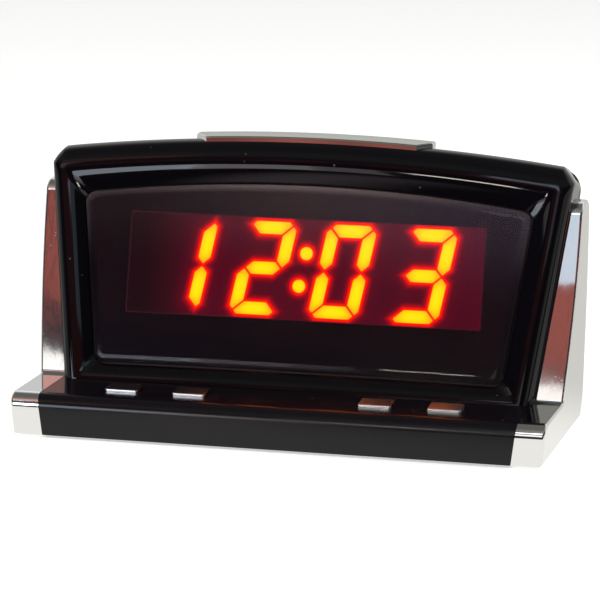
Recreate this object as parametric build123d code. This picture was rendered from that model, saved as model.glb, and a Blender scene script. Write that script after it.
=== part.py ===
"""Desk clock with a large red LED display: a tilted gloss-black housing on a low
black base, between two hollow chromed side frames, with a snooze bar on top and
four keys on the base. Millimetres, +Z up, front towards -Y. The origin is the
middle of the clock's footprint, on the surface that the rubber feet stand on."""

from build123d import *
from math import acos, cos, degrees, radians, sin, sqrt, tan
import os

os.makedirs("parts", exist_ok=True)

# Whole clock
overall_width = 200.0
base_depth = 78.0
foot_stand = 1.0
wall = 2.0
overrun = 1.0
seam_gap = 0.1
slide_gap = 0.3

# Base and the chromed side frames
base_height = 14.7
base_front_round = 4.7
base_back_round = 2.5
frame_seat_inset = 14.9
side_flare_share = 0.13
frame_bow = 4.0
frame_widest_height = 80.0
frame_wall = 1.8
frame_edge_round = 1.0
upright_setback = 6.9
upright_top_drop = 13.7
upright_top_inset = 12.0
upright_top_round = 5.0
upright_back_foot_height = 9.0
upright_waist_inset = 8.4
upright_waist_height = 40.0
upright_root_round = 1.5
upright_heel_round = 12.0

# Tilted housing: face coordinates run across (X), up the slope and inwards from the crest
face_tilt = 14.4
housing_foot_depth = 54.3
crest_top = 97.3
top_round = 9.5
side_round = 4.6
arch_radius = 740.0
crest_corner = 2.0
shoulder_corner = 7.5
front_back_lip = 2.5
rear_setback = 4.0
rear_edge_round = 5.0
front_wall_depth = 4.6
cavity_front_drop = 2.0

# Lens, its opening and the cove that runs down to it from the crest
lens_side_margin = 12.7
lens_bottom = 22.0
lens_bottom_rise = 0.5
lens_top_margin = 7.9
lens_arch_radius = 584.0
lens_corner = 3.8
lens_edge_round = 0.9
lens_proud = 1.7
lens_gap = 0.7
lens_flange = 1.5
lens_flange_thickness = 1.2
cove_depth = 2.6
cove_middle_share = 0.75
cove_land = 0.4
cove_corner = 1.2

# LED display module and its board
module_side_margin = 6.5
module_height = 36.7
module_depth = 9.0
module_lift = 3.7
module_behind_lens = 0.3
module_edge_round = 0.8
shown_time = "1203"
digit_height = 34.0
digit_pitch_share = 0.22382
digit_width_share = 0.62034
digit_slant = 9.9
segment_width = 4.6
segment_chamfer = 3.0
segment_gap = 0.64
segment_fit = 0.05
colon_radius = 2.4
colon_spacing = 11.9
board_thickness = 1.6
board_side_gap = 3.3
board_below_module = 1.05
board_above_module = 1.25
board_corner = 1.5
pin_size = 0.6
pin_length = 3.2
pin_count = 14
pin_end_inset = 16.37
pin_row_inset = 2.6
board_boss_radius = 2.8
board_boss_inset = 4.6
board_boss_margin = 5.0

# Fixing screws and their bosses
screw_radius = 1.2
screw_head_radius = 2.5
screw_head_height = 1.6
screw_fit = 0.05
screw_reach = 6.0
boss_radius = 3.0
cover_screw_low = 28.0
cover_screw_drop = 5.3
cover_screw_inset = 5.8
cover_tube_floor = 3.0
cover_tube_radius = 4.4
side_screw_drops = (31.6, 7.6)
side_screw_depth = 10.8
side_screw_reach = 3.0
side_foot_screw_height = 8.0
side_foot_screw_front = 15.0
side_foot_screw_back = 16.0
stand_screw_inset = 5.1
stand_screw_front = 12.3
stand_screw_back = 16.0
stand_boss_height = 8.0
plate_screw_side = 8.1
plate_screw_end = 7.5
plate_thickness = 2.0
plate_head_sink = 1.2
service_gap_side = 9.0
service_gap_front = 6.0
service_gap_back = 6.0

# Snooze bar: a cap that follows the arch, in a slot through the housing's top
bar_half = 44.5
bar_corner_width = 5.5
bar_front_depth = 3.3
bar_corner_depth = 5.5
bar_depth = 14.2
bar_front_height = 2.5
bar_crown_radius = 36.0
bar_skirt = 2.6
bar_wall = 1.6
bar_edge_round = 0.5
bar_travel = 0.8
bar_crown_slope = 24.4
bar_hook = 1.5
bar_hook_height = 1.6
bar_hook_depth = 5.0
bar_post_radius = 1.8
snooze_board_drop = 5.3
snooze_board_end = 9.5
snooze_board_front = 5.4
snooze_board_width = 11.4
snooze_boss_inset = 4.5

# Keys on the base
key_width = 12.0
key_depth = 7.6
key_middle_share = 0.45227
key_end_margin = 26.1
key_pitch = 25.0
key_names = ("time_key", "hour_key", "minute_key", "alarm_key")
key_rise_front = 1.0
key_rise_back = 1.8
key_corner = 0.8
key_edge_round = 0.45
key_flange = 1.0
key_flange_thickness = 1.0
key_stem_radius = 1.9
key_travel = 0.6
press_free = 0.1

# Circuit boards in the base, and what they carry
board_stand = 2.0
board_post_radius = 2.6
key_board_end = 8.0
key_board_ahead = 6.5
key_board_behind = 9.0
main_board_half = 46.0
main_board_back = 6.0
main_board_depth = 29.0
board_screw_inset = 3.6
board_screw_head_height = 1.2
board_screw_head_radius = 2.0
board_screw_radius = 1.0
board_screw_reach = 3.2
tact_size = 6.0
tact_height = 3.5
tact_button_radius = 1.7
tact_button_height = 0.8
tact_corner = 0.6
chip_length = 36.0
chip_width = 7.4
chip_height = 3.6
chip_stand = 0.5
chip_edge = 0.25
chip_notch_radius = 0.9
chip_leg_count = 14
chip_leg_width = 0.5
chip_row_half = 4.4
chip_x = 8.0
chip_inset = 18.0
cap_radii = (4.0, 3.0, 2.5)
cap_heights = (9.5, 8.0, 7.0)
cap_places = (-37.0, -27.5, -19.5)
cap_inset = 18.0
cap_groove_share = 0.125
cap_groove_height_share = 0.33
buzzer_radius = 6.0
buzzer_height = 6.5
buzzer_hole = 1.0
buzzer_x = -33.0
buzzer_inset = 7.5
crystal_length = 10.0
crystal_width = 4.2
crystal_height = 3.4
crystal_x = 34.0
crystal_inset = 9.0
regulator_width = 10.0
regulator_depth = 4.4
regulator_height = 9.0
regulator_tab = 5.0
regulator_tab_thickness = 1.2
regulator_hole = 1.7
regulator_x = 36.0
regulator_inset = 17.5
ribbon_width = 16.0
ribbon_thickness = 0.8
ribbon_bend = 30.0
ribbon_drop = 20.0
connector_size = 5.0
connector_edge = 0.6
connector_drop = 9.4
ribbon_lap = 7.0
lead_radius = 0.6
lead_bend = 2.5

# Rear cover: vents, socket, switch and battery bay
vent_count = 11
vent_pitch = 5.0
vent_width = 2.2
vent_height = 18.0
vent_rise = 44.0
cell_radius = 5.25
cell_length = 43.3
cell_nub_radius = 1.9
cell_nub_length = 1.2
cell_gap = 0.6
cell_end_room = 2.0
bay_middle_x = -22.0
bay_floor_height = 22.0
bay_wall = 1.2
bay_ledge = 2.2
door_thickness = 1.8
door_gap = 0.25
door_pin_radius = 0.7
door_pin_length = 1.6
door_grip_width = 16.0
door_grip_depth = 0.8
door_grip_rib = 0.9
door_grip_round = 0.35
door_grip_pitch = 2.2
door_grip_count = 4
contact_thickness = 0.4
contact_width = 7.0
contact_tip_width = 1.6
jack_x = 52.0
jack_height = 27.0
jack_collar_radius = 4.0
jack_bore_radius = 2.85
jack_bore_depth = 9.0
jack_body_width = 10.0
jack_body_depth = 12.0
jack_pin_radius = 1.0
jack_pin_length = 7.5
jack_pin_round = 0.5
jack_recess = 0.4
switch_x = 52.0
switch_height = 46.0
switch_can_width = 15.0
switch_can_height = 6.4
switch_can_depth = 5.0
switch_travel = 4.0
knob_width = 3.6
knob_height = 3.0
knob_proud = 2.2
knob_inside = 1.6
knob_groove_radius = 0.45
knob_groove_offset = 0.72

# Rubber pads
pad_radius = 6.0
pad_recess = 0.8
pad_side_inset = 15.1
pad_end_inset = 16.0
pad_edge = 0.4

# Across the clock, measured from its middle
side_seat_half = overall_width / 2 - frame_seat_inset
frame_foot_half = overall_width / 2 - frame_bow
lens_foot_half = side_seat_half - lens_side_margin
module_width = (lens_foot_half - module_side_margin) * 2
digit_pitch = module_width * digit_pitch_share
digit_width = digit_pitch * digit_width_share
pin_pitch = (module_width - pin_end_inset * 2) / (pin_count - 1)
board_foot_half = side_seat_half - board_side_gap
stand_screw_x = side_seat_half - stand_screw_inset
plate_screw_x = side_seat_half - plate_screw_side
pad_x = side_seat_half - pad_side_inset
key_x = side_seat_half - key_end_margin
key_places = (-key_x, key_pitch - key_x, key_x - key_pitch, key_x)
key_board_half = key_x + key_board_end
service_gap_half = main_board_half + service_gap_side
bar_front_half = bar_half - bar_corner_width
snooze_board_half = bar_half + snooze_board_end
snooze_boss_x = snooze_board_half - snooze_boss_inset
far = overall_width

# Front to back, measured from the base's front edge
front_y = -base_depth / 2
back_y = base_depth / 2
tilt = radians(face_tilt)
face_foot_y = base_depth - housing_foot_depth
upright_foot_y = face_foot_y + upright_setback
rear_y = back_y - rear_setback
rear_inner_y = rear_y - wall
foot_line_y = face_foot_y + base_height * tan(tilt)
key_middle_y = base_front_round + (foot_line_y - base_front_round) * key_middle_share
key_front_y = key_middle_y - key_depth / 2
key_board_front_y = key_middle_y - key_board_ahead
key_board_depth = key_board_ahead + key_board_behind
main_board_front_y = base_depth - main_board_back - main_board_depth
service_gap_front_y = main_board_front_y - service_gap_front
service_gap_back_y = main_board_front_y + main_board_depth - service_gap_back
stand_screw_front_y = face_foot_y + stand_screw_front
stand_screw_back_y = base_depth - stand_screw_back
side_foot_screw_places = (side_foot_screw_front, base_depth - side_foot_screw_back)
plate_screw_y = base_depth / 2 - plate_screw_end
pad_y = base_depth / 2 - pad_end_inset

# Up the clock
base_top = foot_stand + base_height
full_top = crest_top + top_round
arch_centre = full_top - arch_radius
upright_height = crest_top - upright_top_drop
side_screw_heights = [upright_height - drop for drop in side_screw_drops]
lens_top = crest_top - lens_top_margin
module_middle = (lens_bottom + lens_top) / 2 + module_lift
board_low = module_middle - module_height / 2 - board_below_module
board_high = module_middle + module_height / 2 + board_above_module
connector_level = module_middle - connector_drop
cover_screw_high = crest_top - cover_screw_drop
snooze_board_level = crest_top - snooze_board_drop
plate_top = foot_stand + plate_thickness
board_low_z = plate_top + board_stand
board_top_z = board_low_z + board_thickness
ceiling_z = base_top - wall
tact_top = board_top_z + tact_height + tact_button_height
vent_middle = bay_floor_height + vent_rise

# Into the tilted housing, square to its face
front_depth = bar_front_depth + bar_depth + front_back_lip
module_face = front_wall_depth + lens_flange_thickness + module_behind_lens
module_back = module_face + module_depth
board_back = module_back + board_thickness
face_foot = Vector(0, front_y + face_foot_y, foot_stand)
up_slope = Vector(0, sin(tilt), cos(tilt))
inward = Vector(0, cos(tilt), -sin(tilt))


def on_face(across, up, depth):
    """Turns face coordinates into a point of the clock's own frame."""
    return face_foot + Vector(across, 0, 0) + up_slope * up + inward * depth


def face_plane(depth):
    """Plane parallel to the tilted face, with its normal pointing out of it."""
    return Plane(origin=on_face(0, 0, depth), x_dir=(1, 0, 0), z_dir=inward * -1)


def lid_plane(up):
    """Plane across the top, whose own axes run across and inwards."""
    return Plane(origin=on_face(0, up, 0), x_dir=(1, 0, 0), z_dir=up_slope)


def side_plane(height, y, gap=0.0):
    """Plane of the right side seat, at one height over the base's underside."""
    across = side_seat_half + side_flare_share * height + gap
    normal = Vector(1, 0, -side_flare_share).normalized()
    return Plane(origin=(across, y, foot_stand + height), x_dir=(0, 1, 0), z_dir=normal)


def both_sides(right_part):
    """The right-hand part together with its mirror image on the left."""
    return right_part + mirror(right_part, about=Plane.YZ)


def between_sides(gap):
    """Everything between the two flared side seats, moved outwards by a gap."""
    low = -overrun
    high = far
    low_half = side_seat_half + side_flare_share * low + gap
    high_half = side_seat_half + side_flare_share * high + gap
    corners = [(-low_half, low), (low_half, low), (high_half, high), (-high_half, high)]
    section = Plane.XZ * make_face(Polyline(*corners, close=True))
    return Pos(0, 0, foot_stand) * extrude(section, base_depth, both=True)


def tray_outline(half_of, bottom, top, radius, top_corner, bottom_corner=0.0, rise=0.0):
    """Outline with flared straight sides under an arch, in face coordinates."""
    centre = top - radius
    foot_half, flare = half_of
    a = flare * flare + 1
    b = 2 * (foot_half * flare - centre)
    c = foot_half * foot_half + centre * centre - radius * radius
    shoulder = (-b + sqrt(b * b - 4 * a * c)) / (2 * a)
    half_high = foot_half + flare * shoulder
    half_low = foot_half + flare * bottom
    if rise:
        sill = ThreePointArc((-half_low, bottom), (0, bottom + rise), (half_low, bottom))
    else:
        sill = Line((-half_low, bottom), (half_low, bottom))
    outline = [
        sill,
        Line((half_low, bottom), (half_high, shoulder)),
        ThreePointArc((half_high, shoulder), (0, top), (-half_high, shoulder)),
        Line((-half_high, shoulder), (-half_low, bottom)),
    ]
    face = make_face(outline)
    middle = (shoulder + bottom) / 2
    face = fillet([p for p in face.vertices() if p.Y > middle], top_corner)
    if bottom_corner:
        face = fillet([p for p in face.vertices() if p.Y < bottom + rise + overrun / 2], bottom_corner)
    return face


def housing_section(depth, shrink=0.0, drop=0.0):
    """Outline of the housing at a depth behind the crest, drawn in by a wall."""
    if depth < top_round:
        turn = acos(1 - depth / top_round)
        top = crest_top + top_round * sin(turn)
    else:
        turn = radians(90)
        top = full_top
    if depth < side_round:
        inset = side_round - sqrt(side_round**2 - (side_round - depth) ** 2)
    else:
        inset = 0.0
    foot_half = side_seat_half - seam_gap - side_flare_share * depth * sin(tilt) - inset - shrink
    flare = side_flare_share * cos(tilt)
    corner = crest_corner + (shoulder_corner - crest_corner) * sin(turn)
    top = top - shrink - drop
    corner = max(corner - shrink, crest_corner / 2)
    sunk = base_height / 2
    section = tray_outline((foot_half, flare), sunk, top, arch_radius - shrink - drop, corner)
    return face_plane(depth) * section


def above_base(part):
    """What is left of a part over the base's top face."""
    below = Box(far * 2, far * 2, far, align=(Align.CENTER, Align.CENTER, Align.MAX))
    return part - Pos(0, 0, base_top) * below


def rounded_front():
    """Front of the housing from the crest over its rounded edge to the full section."""
    steps = 8
    turns = [radians(90) * step / steps for step in range(steps + 1)]
    depths = [top_round * (1 - cos(turn)) for turn in turns]
    return loft([housing_section(depth) for depth in depths], ruled=True)


def straight_run(depth_from, depth_to, shrink=0.0):
    """Housing of one section between two depths, or the hollow in it."""
    return loft([housing_section(depth_from, shrink), housing_section(depth_to, shrink)], ruled=True)


def lens_section(depth, margin=0.0):
    """Outline of the lens at a depth, with a margin all round."""
    flare = side_flare_share * cos(tilt)
    outline = tray_outline(
        (lens_foot_half + margin, flare),
        lens_bottom - margin,
        lens_top + margin,
        lens_arch_radius + margin,
        lens_corner + margin,
        lens_corner + margin,
        lens_bottom_rise,
    )
    return face_plane(depth) * outline


def cove():
    """Hollow that slopes from the crest line down to the lens opening."""
    flare = side_flare_share * cos(tilt)
    sill = base_height / cos(tilt) + cove_land
    crest = tray_outline(
        (side_seat_half - side_round - cove_land, flare),
        sill,
        crest_top - cove_land,
        arch_radius - top_round - cove_land,
        cove_corner,
        cove_corner,
        lens_bottom_rise,
    )
    middle = tray_outline(
        ((side_seat_half - side_round - cove_land + lens_foot_half + lens_gap) / 2, flare),
        (sill + lens_bottom - lens_gap) / 2,
        (crest_top - cove_land + lens_top + lens_gap) / 2,
        (arch_radius + lens_arch_radius) / 2,
        (cove_corner + lens_corner) / 2,
        (cove_corner + lens_corner) / 2,
        lens_bottom_rise,
    )
    sag = cove_depth * cove_middle_share
    slope = loft(
        [face_plane(0) * crest, face_plane(sag) * middle, lens_section(cove_depth, lens_gap)],
        ruled=True,
    )
    return slope + extrude(face_plane(0) * crest, overrun)


def face_cylinder(across, up, depth_from, depth_to, radius):
    """Round bar square to the tilted face, on both sides of the middle."""
    length = depth_to - depth_from
    plane = face_plane(depth_to)
    right = plane * Pos(across, up, length / 2) * Cylinder(radius, length)
    return both_sides(right)


def seat_half(up, depth, inset):
    """Distance from the middle to a place inside the flared side wall."""
    height = up * cos(tilt) - depth * sin(tilt)
    return side_seat_half + side_flare_share * height - wall - inset


def side_bars(radius, inner, outer):
    """Round bars square to the side seats, where the side frames are screwed on."""
    bar = Pos(0, 0, (inner + outer) / 2) * Cylinder(radius, outer - inner)
    bars = []
    for height in side_screw_heights:
        y = front_y + face_foot_y + height * tan(tilt) + side_screw_depth
        bars.append(side_plane(height, y) * bar)
    for place in side_foot_screw_places:
        bars.append(side_plane(side_foot_screw_height, front_y + place) * bar)
    return Part() + bars


def stand_bars(radius, low, high, y):
    """Upright bars that join the housing to the base, at one depth of the clock."""
    bar = Pos(stand_screw_x, y, (low + high) / 2) * Cylinder(radius, high - low)
    return both_sides(bar)


def bar_outline(margin=0.0):
    """Plan of the snooze bar on the lid plane, with its front corners cut off."""
    front = bar_front_depth - margin
    back = bar_front_depth + bar_depth + margin
    half = bar_half + margin
    corner = bar_front_depth + bar_corner_depth
    points = [
        (-bar_front_half - margin / 2, front),
        (bar_front_half + margin / 2, front),
        (half, corner),
        (half, back),
        (-half, back),
        (-half, corner),
    ]
    return make_face(Polyline(*points, close=True))


def make_front_frame():
    """Front housing: crest, cove, lens opening, snooze slot and screw bosses."""
    block = rounded_front() + straight_run(top_round, front_depth)
    hollow_front = housing_section(front_wall_depth, wall, cavity_front_drop)
    hollow = loft([hollow_front, housing_section(top_round, wall)], ruled=True)
    hollow = hollow + straight_run(top_round, front_depth + overrun, wall)
    low_x = seat_half(cover_screw_low, front_wall_depth, cover_screw_inset - wall)
    high_x = seat_half(cover_screw_high, front_wall_depth, cover_screw_inset)
    bosses = face_cylinder(low_x, cover_screw_low, front_wall_depth - overrun, front_depth, boss_radius)
    bosses += face_cylinder(high_x, cover_screw_high, front_wall_depth - overrun, front_depth, boss_radius)
    for up in (board_low + board_boss_margin, board_high - board_boss_margin):
        across = seat_half(up, module_back, board_boss_inset - wall)
        bosses += face_cylinder(across, up, front_wall_depth - overrun, module_back, board_boss_radius)
    stand_y = front_y + stand_screw_front_y
    bosses += stand_bars(boss_radius, base_top, base_top + stand_boss_height, stand_y)
    rib_y = (stand_y + front_y + face_foot_y) / 2
    rib_depth = stand_y - front_y - face_foot_y
    rib = Box(wall, rib_depth, stand_boss_height, align=(Align.CENTER, Align.CENTER, Align.MIN))
    bosses += both_sides(Pos(stand_screw_x, rib_y, base_top) * rib)
    hanger = lid_plane(snooze_board_level + board_thickness)
    hanger_length = full_top - wall / 2 - snooze_board_level - board_thickness
    boss = Cylinder(board_boss_radius, hanger_length, align=(Align.CENTER, Align.CENTER, Align.MIN))
    hanger_depth = snooze_board_front + snooze_board_width / 2
    bosses += both_sides(hanger * Pos(snooze_boss_x, hanger_depth, 0) * boss)
    frame = above_base(block - hollow + (bosses & block))
    frame -= cove()
    frame -= extrude(lens_section(front_wall_depth + overrun, lens_gap), front_wall_depth + overrun)
    slot_floor = full_top - wall - bar_skirt - bar_travel - overrun * 2
    frame -= lid_plane(slot_floor) * extrude(bar_outline(slide_gap), far)
    pilot = screw_radius + screw_fit
    frame -= face_cylinder(low_x, cover_screw_low, front_depth - screw_reach, front_depth + overrun, pilot)
    frame -= face_cylinder(high_x, cover_screw_high, front_depth - screw_reach, front_depth + overrun, pilot)
    for up in (board_low + board_boss_margin, board_high - board_boss_margin):
        across = seat_half(up, module_back, board_boss_inset - wall)
        hole_start = module_back - board_screw_reach
        small = board_screw_radius + screw_fit
        frame -= face_cylinder(across, up, hole_start, module_back + overrun, small)
    frame -= stand_bars(pilot, base_top - overrun, base_top + screw_reach, stand_y)
    small_hole = Cylinder(board_screw_radius + screw_fit, board_screw_reach * 2)
    frame -= both_sides(hanger * Pos(snooze_boss_x, hanger_depth, 0) * small_hole)
    frame -= both_sides(side_bars(pilot, -wall - overrun, overrun))
    return frame


def make_lens():
    """Smoked lens: a raised pane with a rounded edge and a thin flange behind."""
    pane_front = cove_depth - lens_proud
    pane = extrude(lens_section(front_wall_depth, 0.0), front_wall_depth - pane_front)
    front_edges = pane.faces().sort_by(Axis(tuple(face_foot), tuple(inward)))[0].edges()
    pane = fillet(front_edges, lens_edge_round)
    flange = extrude(
        lens_section(front_wall_depth + lens_flange_thickness, lens_flange), lens_flange_thickness
    )
    return pane + flange


def segment_outlines():
    """The seven segments of one upright digit, before it is slanted."""
    outer = digit_width / 2
    inner = outer - segment_width
    middle = outer - segment_width / 2
    top = digit_height / 2
    under = top - segment_width
    split = segment_gap / sqrt(2)
    near = (segment_chamfer + split) / 2
    far = (segment_chamfer - split) / 2
    shoulder = outer - segment_chamfer
    half = segment_width / 2
    bar = [
        (-shoulder, top), (shoulder, top), (outer - near, top - far),
        (inner - split, under), (split - inner, under), (near - outer, top - far),
    ]
    post = [
        (outer - far, top - near), (outer, top - segment_chamfer), (outer, half + split),
        (middle, split), (inner, half + split), (inner, under - split),
    ]
    bridge = [
        (middle - split, 0), (inner - split, half), (split - inner, half),
        (split - middle, 0), (split - inner, -half), (inner - split, -half),
    ]
    return {
        "a": bar,
        "b": post,
        "c": [(x, -y) for x, y in post],
        "d": [(x, -y) for x, y in bar],
        "e": [(-x, -y) for x, y in post],
        "f": [(-x, y) for x, y in post],
        "g": bridge,
    }


def digit_bars(margin=0.0, lit=True):
    """Bars of the digits, slanted, from the module's face to its back."""
    lit_bars = {"0": "abcdef", "1": "bc", "2": "abged", "3": "abgcd"}
    slant = tan(radians(digit_slant))
    bars = []
    for place, digit in enumerate(shown_time):
        middle = (place - (len(shown_time) - 1) / 2) * digit_pitch
        for name, points in segment_outlines().items():
            if (name in lit_bars[digit]) != lit:
                continue
            placed = [(middle + x + y * slant, module_middle + y) for x, y in points]
            face = make_face(Polyline(*placed, close=True))
            if margin:
                face = offset(face, margin, kind=Kind.INTERSECTION)
            bars.append(extrude(face_plane(module_back) * face, module_depth))
    return bars


def colon_bars(margin=0.0):
    """The two round dots between the hours and the minutes."""
    slant = tan(radians(digit_slant))
    bars = []
    for side in (-1, 1):
        up = side * colon_spacing / 2
        bar = Cylinder(colon_radius + margin, module_depth)
        place = Pos(up * slant, module_middle + up, module_depth / 2)
        bars.append(face_plane(module_back) * place * bar)
    return bars


def pin_places():
    """Places of the display's pins, in one row along each long edge."""
    places = []
    for row in (-1, 1):
        up = module_middle + row * (module_height / 2 - pin_row_inset)
        for number in range(pin_count):
            across = (number - (pin_count - 1) / 2) * pin_pitch
            places.append((across, up))
    return places


def make_reflector():
    """Display housing with a light well for each segment and dot."""
    body = Box(module_width, module_height, module_depth)
    body = fillet(body.edges().filter_by(Axis.Z), module_edge_round)
    placed = face_plane(module_back) * Pos(0, module_middle, module_depth / 2) * body
    wells = digit_bars(segment_fit) + digit_bars(segment_fit, lit=False)
    return placed - (Part() + wells + colon_bars(segment_fit))


def make_display_board():
    """Board behind the display, screwed to four bosses of the front housing."""
    flare = side_flare_share * cos(tilt)
    low_half = board_foot_half + flare * board_low
    high_half = board_foot_half + flare * board_high
    corners = [
        (-low_half, board_low), (low_half, board_low), (high_half, board_high), (-high_half, board_high),
    ]
    outline = make_face(Polyline(*corners, close=True))
    outline = fillet(outline.vertices(), board_corner)
    board = extrude(face_plane(board_back) * outline, board_thickness)
    for up in (board_low + board_boss_margin, board_high - board_boss_margin):
        across = seat_half(up, module_back, board_boss_inset - wall)
        clear = board_screw_radius + slide_gap
        board -= face_cylinder(across, up, module_back - overrun, board_back + overrun, clear)
    hole = Box(pin_size + seam_gap, pin_size + seam_gap, board_thickness + overrun)
    plane = face_plane(board_back)
    holes = [plane * Pos(across, up, board_thickness / 2) * hole for across, up in pin_places()]
    return board - holes


def make_display_pins():
    """Square pins that carry the display on its board."""
    pin = Box(pin_size, pin_size, pin_length)
    plane = face_plane(module_back + pin_length)
    pins = [plane * Pos(across, up, pin_length / 2) * pin for across, up in pin_places()]
    return Compound(children=pins)


def bay_box(margin=0.0):
    """Width, height and depth of the room for the two cells."""
    width = cell_length + cell_nub_length + cell_end_room * 2 + margin * 2
    height = cell_radius * 4 + cell_gap * 3 + margin * 2
    depth = cell_radius * 2 + cell_gap * 2
    return width, height, depth


def door_place():
    """Middle of the battery door in X and Z, and its size."""
    width, height, depth = bay_box()
    middle_z = foot_stand + bay_floor_height + height / 2
    return bay_middle_x, middle_z, width + bay_ledge * 2, height + bay_ledge * 2


def make_rear_cover():
    """Rear housing: wedge with rounded edges, vents, battery bay and tubes."""
    depth_far = front_depth + base_depth
    block = straight_run(front_depth, depth_far)
    behind = Box(far * 2, far, far * 2, align=(Align.CENTER, Align.MIN, Align.CENTER))
    block -= Pos(0, rear_y, 0) * behind
    block = above_base(block)
    rear_face = block.faces().sort_by(Axis.Y)[-1]
    rim = [edge for edge in rear_face.edges() if edge.center().Z > base_top + overrun]
    block = fillet(rim, rear_edge_round)
    hollow = straight_run(front_depth - overrun, depth_far, wall)
    hollow -= Pos(0, rear_inner_y, 0) * behind
    low_x = seat_half(cover_screw_low, front_wall_depth, cover_screw_inset - wall)
    high_x = seat_half(cover_screw_high, front_wall_depth, cover_screw_inset)
    tubes = face_cylinder(low_x, cover_screw_low, front_depth, depth_far, cover_tube_radius)
    tubes += face_cylinder(high_x, cover_screw_high, front_depth, depth_far, cover_tube_radius)
    stand_y = front_y + stand_screw_back_y
    tubes += stand_bars(boss_radius, base_top, base_top + stand_boss_height, stand_y)
    web = Box(wall, rear_y - stand_y, stand_boss_height, align=(Align.CENTER, Align.MIN, Align.MIN))
    tubes += both_sides(Pos(stand_screw_x, stand_y, base_top) * web)
    width, height, depth = bay_box()
    middle_x, middle_z, door_width, door_height = door_place()
    bay = Box(
        width + bay_wall * 2, depth + bay_wall + door_thickness, height + bay_wall * 2,
        align=(Align.CENTER, Align.MAX, Align.CENTER),
    )
    ledge = Box(
        door_width + bay_ledge * 2, wall + door_thickness, door_height + bay_ledge * 2,
        align=(Align.CENTER, Align.MAX, Align.CENTER),
    )
    cover = block - hollow
    cover += (tubes + Pos(middle_x, rear_y, middle_z) * (bay + ledge)) & block
    tube_floor = front_depth + cover_tube_floor
    sunk = screw_head_radius + slide_gap
    pilot = screw_radius + screw_fit
    for across, up in ((low_x, cover_screw_low), (high_x, cover_screw_high)):
        cover -= face_cylinder(across, up, tube_floor, depth_far, sunk)
        cover -= face_cylinder(across, up, front_depth - overrun, tube_floor + overrun, pilot)
    cover -= stand_bars(pilot, base_top - overrun, base_top + screw_reach, stand_y)
    room_depth = depth + door_thickness + overrun
    room = Box(width, room_depth, height, align=(Align.CENTER, Align.MAX, Align.CENTER))
    cover -= Pos(middle_x, rear_y + overrun, middle_z) * room
    recess = Box(
        door_width + door_gap * 2, door_thickness + overrun, door_height + door_gap * 2,
        align=(Align.CENTER, Align.MAX, Align.CENTER),
    )
    cover -= Pos(middle_x, rear_y + overrun, middle_z) * recess
    cover -= hinge_pins(door_pin_radius + door_gap / 2, door_gap)
    slot = SlotOverall(vent_height, vent_width, rotation=90)
    row = [Pos((n - (vent_count - 1) / 2) * vent_pitch, 0) * slot for n in range(vent_count)]
    vents = extrude(Plane.XZ * (Sketch() + row), wall + overrun, both=True)
    cover -= Pos(0, rear_y, foot_stand + vent_middle) * vents
    collar = Rot(90, 0, 0) * Cylinder(jack_collar_radius + seam_gap, (wall + overrun) * 2)
    cover -= Pos(jack_x, rear_y, foot_stand + jack_height) * collar
    slot_width = knob_width + switch_travel + slide_gap * 2
    knob_slot = Box(slot_width, (wall + overrun) * 2, knob_height + slide_gap * 2)
    middle = switch_x + switch_travel / 2
    cover -= Pos(middle, rear_y, foot_stand + switch_height) * knob_slot
    return cover


def hinge_pins(radius, extra=0.0):
    """Two short pins at the lower corners of the battery door."""
    middle_x, middle_z, door_width, door_height = door_place()
    length = door_pin_length + extra
    pin = Rot(0, 90, 0) * Cylinder(radius, length)
    across = door_width / 2 + length / 2
    low = middle_z - door_height / 2 + door_thickness / 2
    y = rear_y - door_thickness / 2
    pins = [Pos(middle_x + side * across, y, low) * pin for side in (-1, 1)]
    return Part() + pins


def make_battery_door():
    """Battery door with a round hinge edge, two pins and a ribbed finger grip."""
    middle_x, middle_z, door_width, door_height = door_place()
    round_edge = door_thickness / 2
    low = middle_z - door_height / 2
    y = rear_y - round_edge
    panel_height = door_height - round_edge
    panel = Box(door_width, door_thickness, panel_height, align=(Align.CENTER, Align.CENTER, Align.MIN))
    door = Pos(middle_x, y, low + round_edge) * panel
    door += Pos(middle_x, y, low + round_edge) * Rot(0, 90, 0) * Cylinder(round_edge, door_width)
    grip_z = low + door_height - door_grip_pitch * (door_grip_count + 1)
    for number in range(door_grip_count):
        groove = Box(door_grip_width, door_grip_depth * 2, door_grip_rib)
        groove = fillet(groove.edges().filter_by(Axis.Y), door_grip_round)
        door -= Pos(middle_x, rear_y, grip_z + number * door_grip_pitch) * groove
    return door + hinge_pins(door_pin_radius)


def cell_height(place):
    """Height of a cell's axis, for the lower cell (0) or the upper one (1)."""
    low = foot_stand + bay_floor_height + cell_gap + cell_radius
    return low + place * (cell_radius * 2 + cell_gap)


def cell_y():
    """Depth of the cells' axes: seated on the floor of the bay."""
    width, height, depth = bay_box()
    return rear_y - door_thickness - depth + cell_radius + seam_gap * 2


def make_cells():
    """Two small round cells side by side, one turned end for end."""
    cells = []
    for place in (0, 1):
        can = Cylinder(cell_radius, cell_length)
        can = chamfer(can.edges(), cell_gap)
        nub = Pos(0, 0, cell_length / 2) * Cylinder(
            cell_nub_radius, cell_nub_length, align=(Align.CENTER, Align.CENTER, Align.MIN)
        )
        turned = Rot(0, 90 - 180 * place, 0) * (can + nub)
        shift = (cell_nub_length / 2) * (2 * place - 1)
        cells.append(Pos(bay_middle_x + shift, cell_y(), cell_height(place)) * turned)
    return Compound(children=cells)


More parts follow.
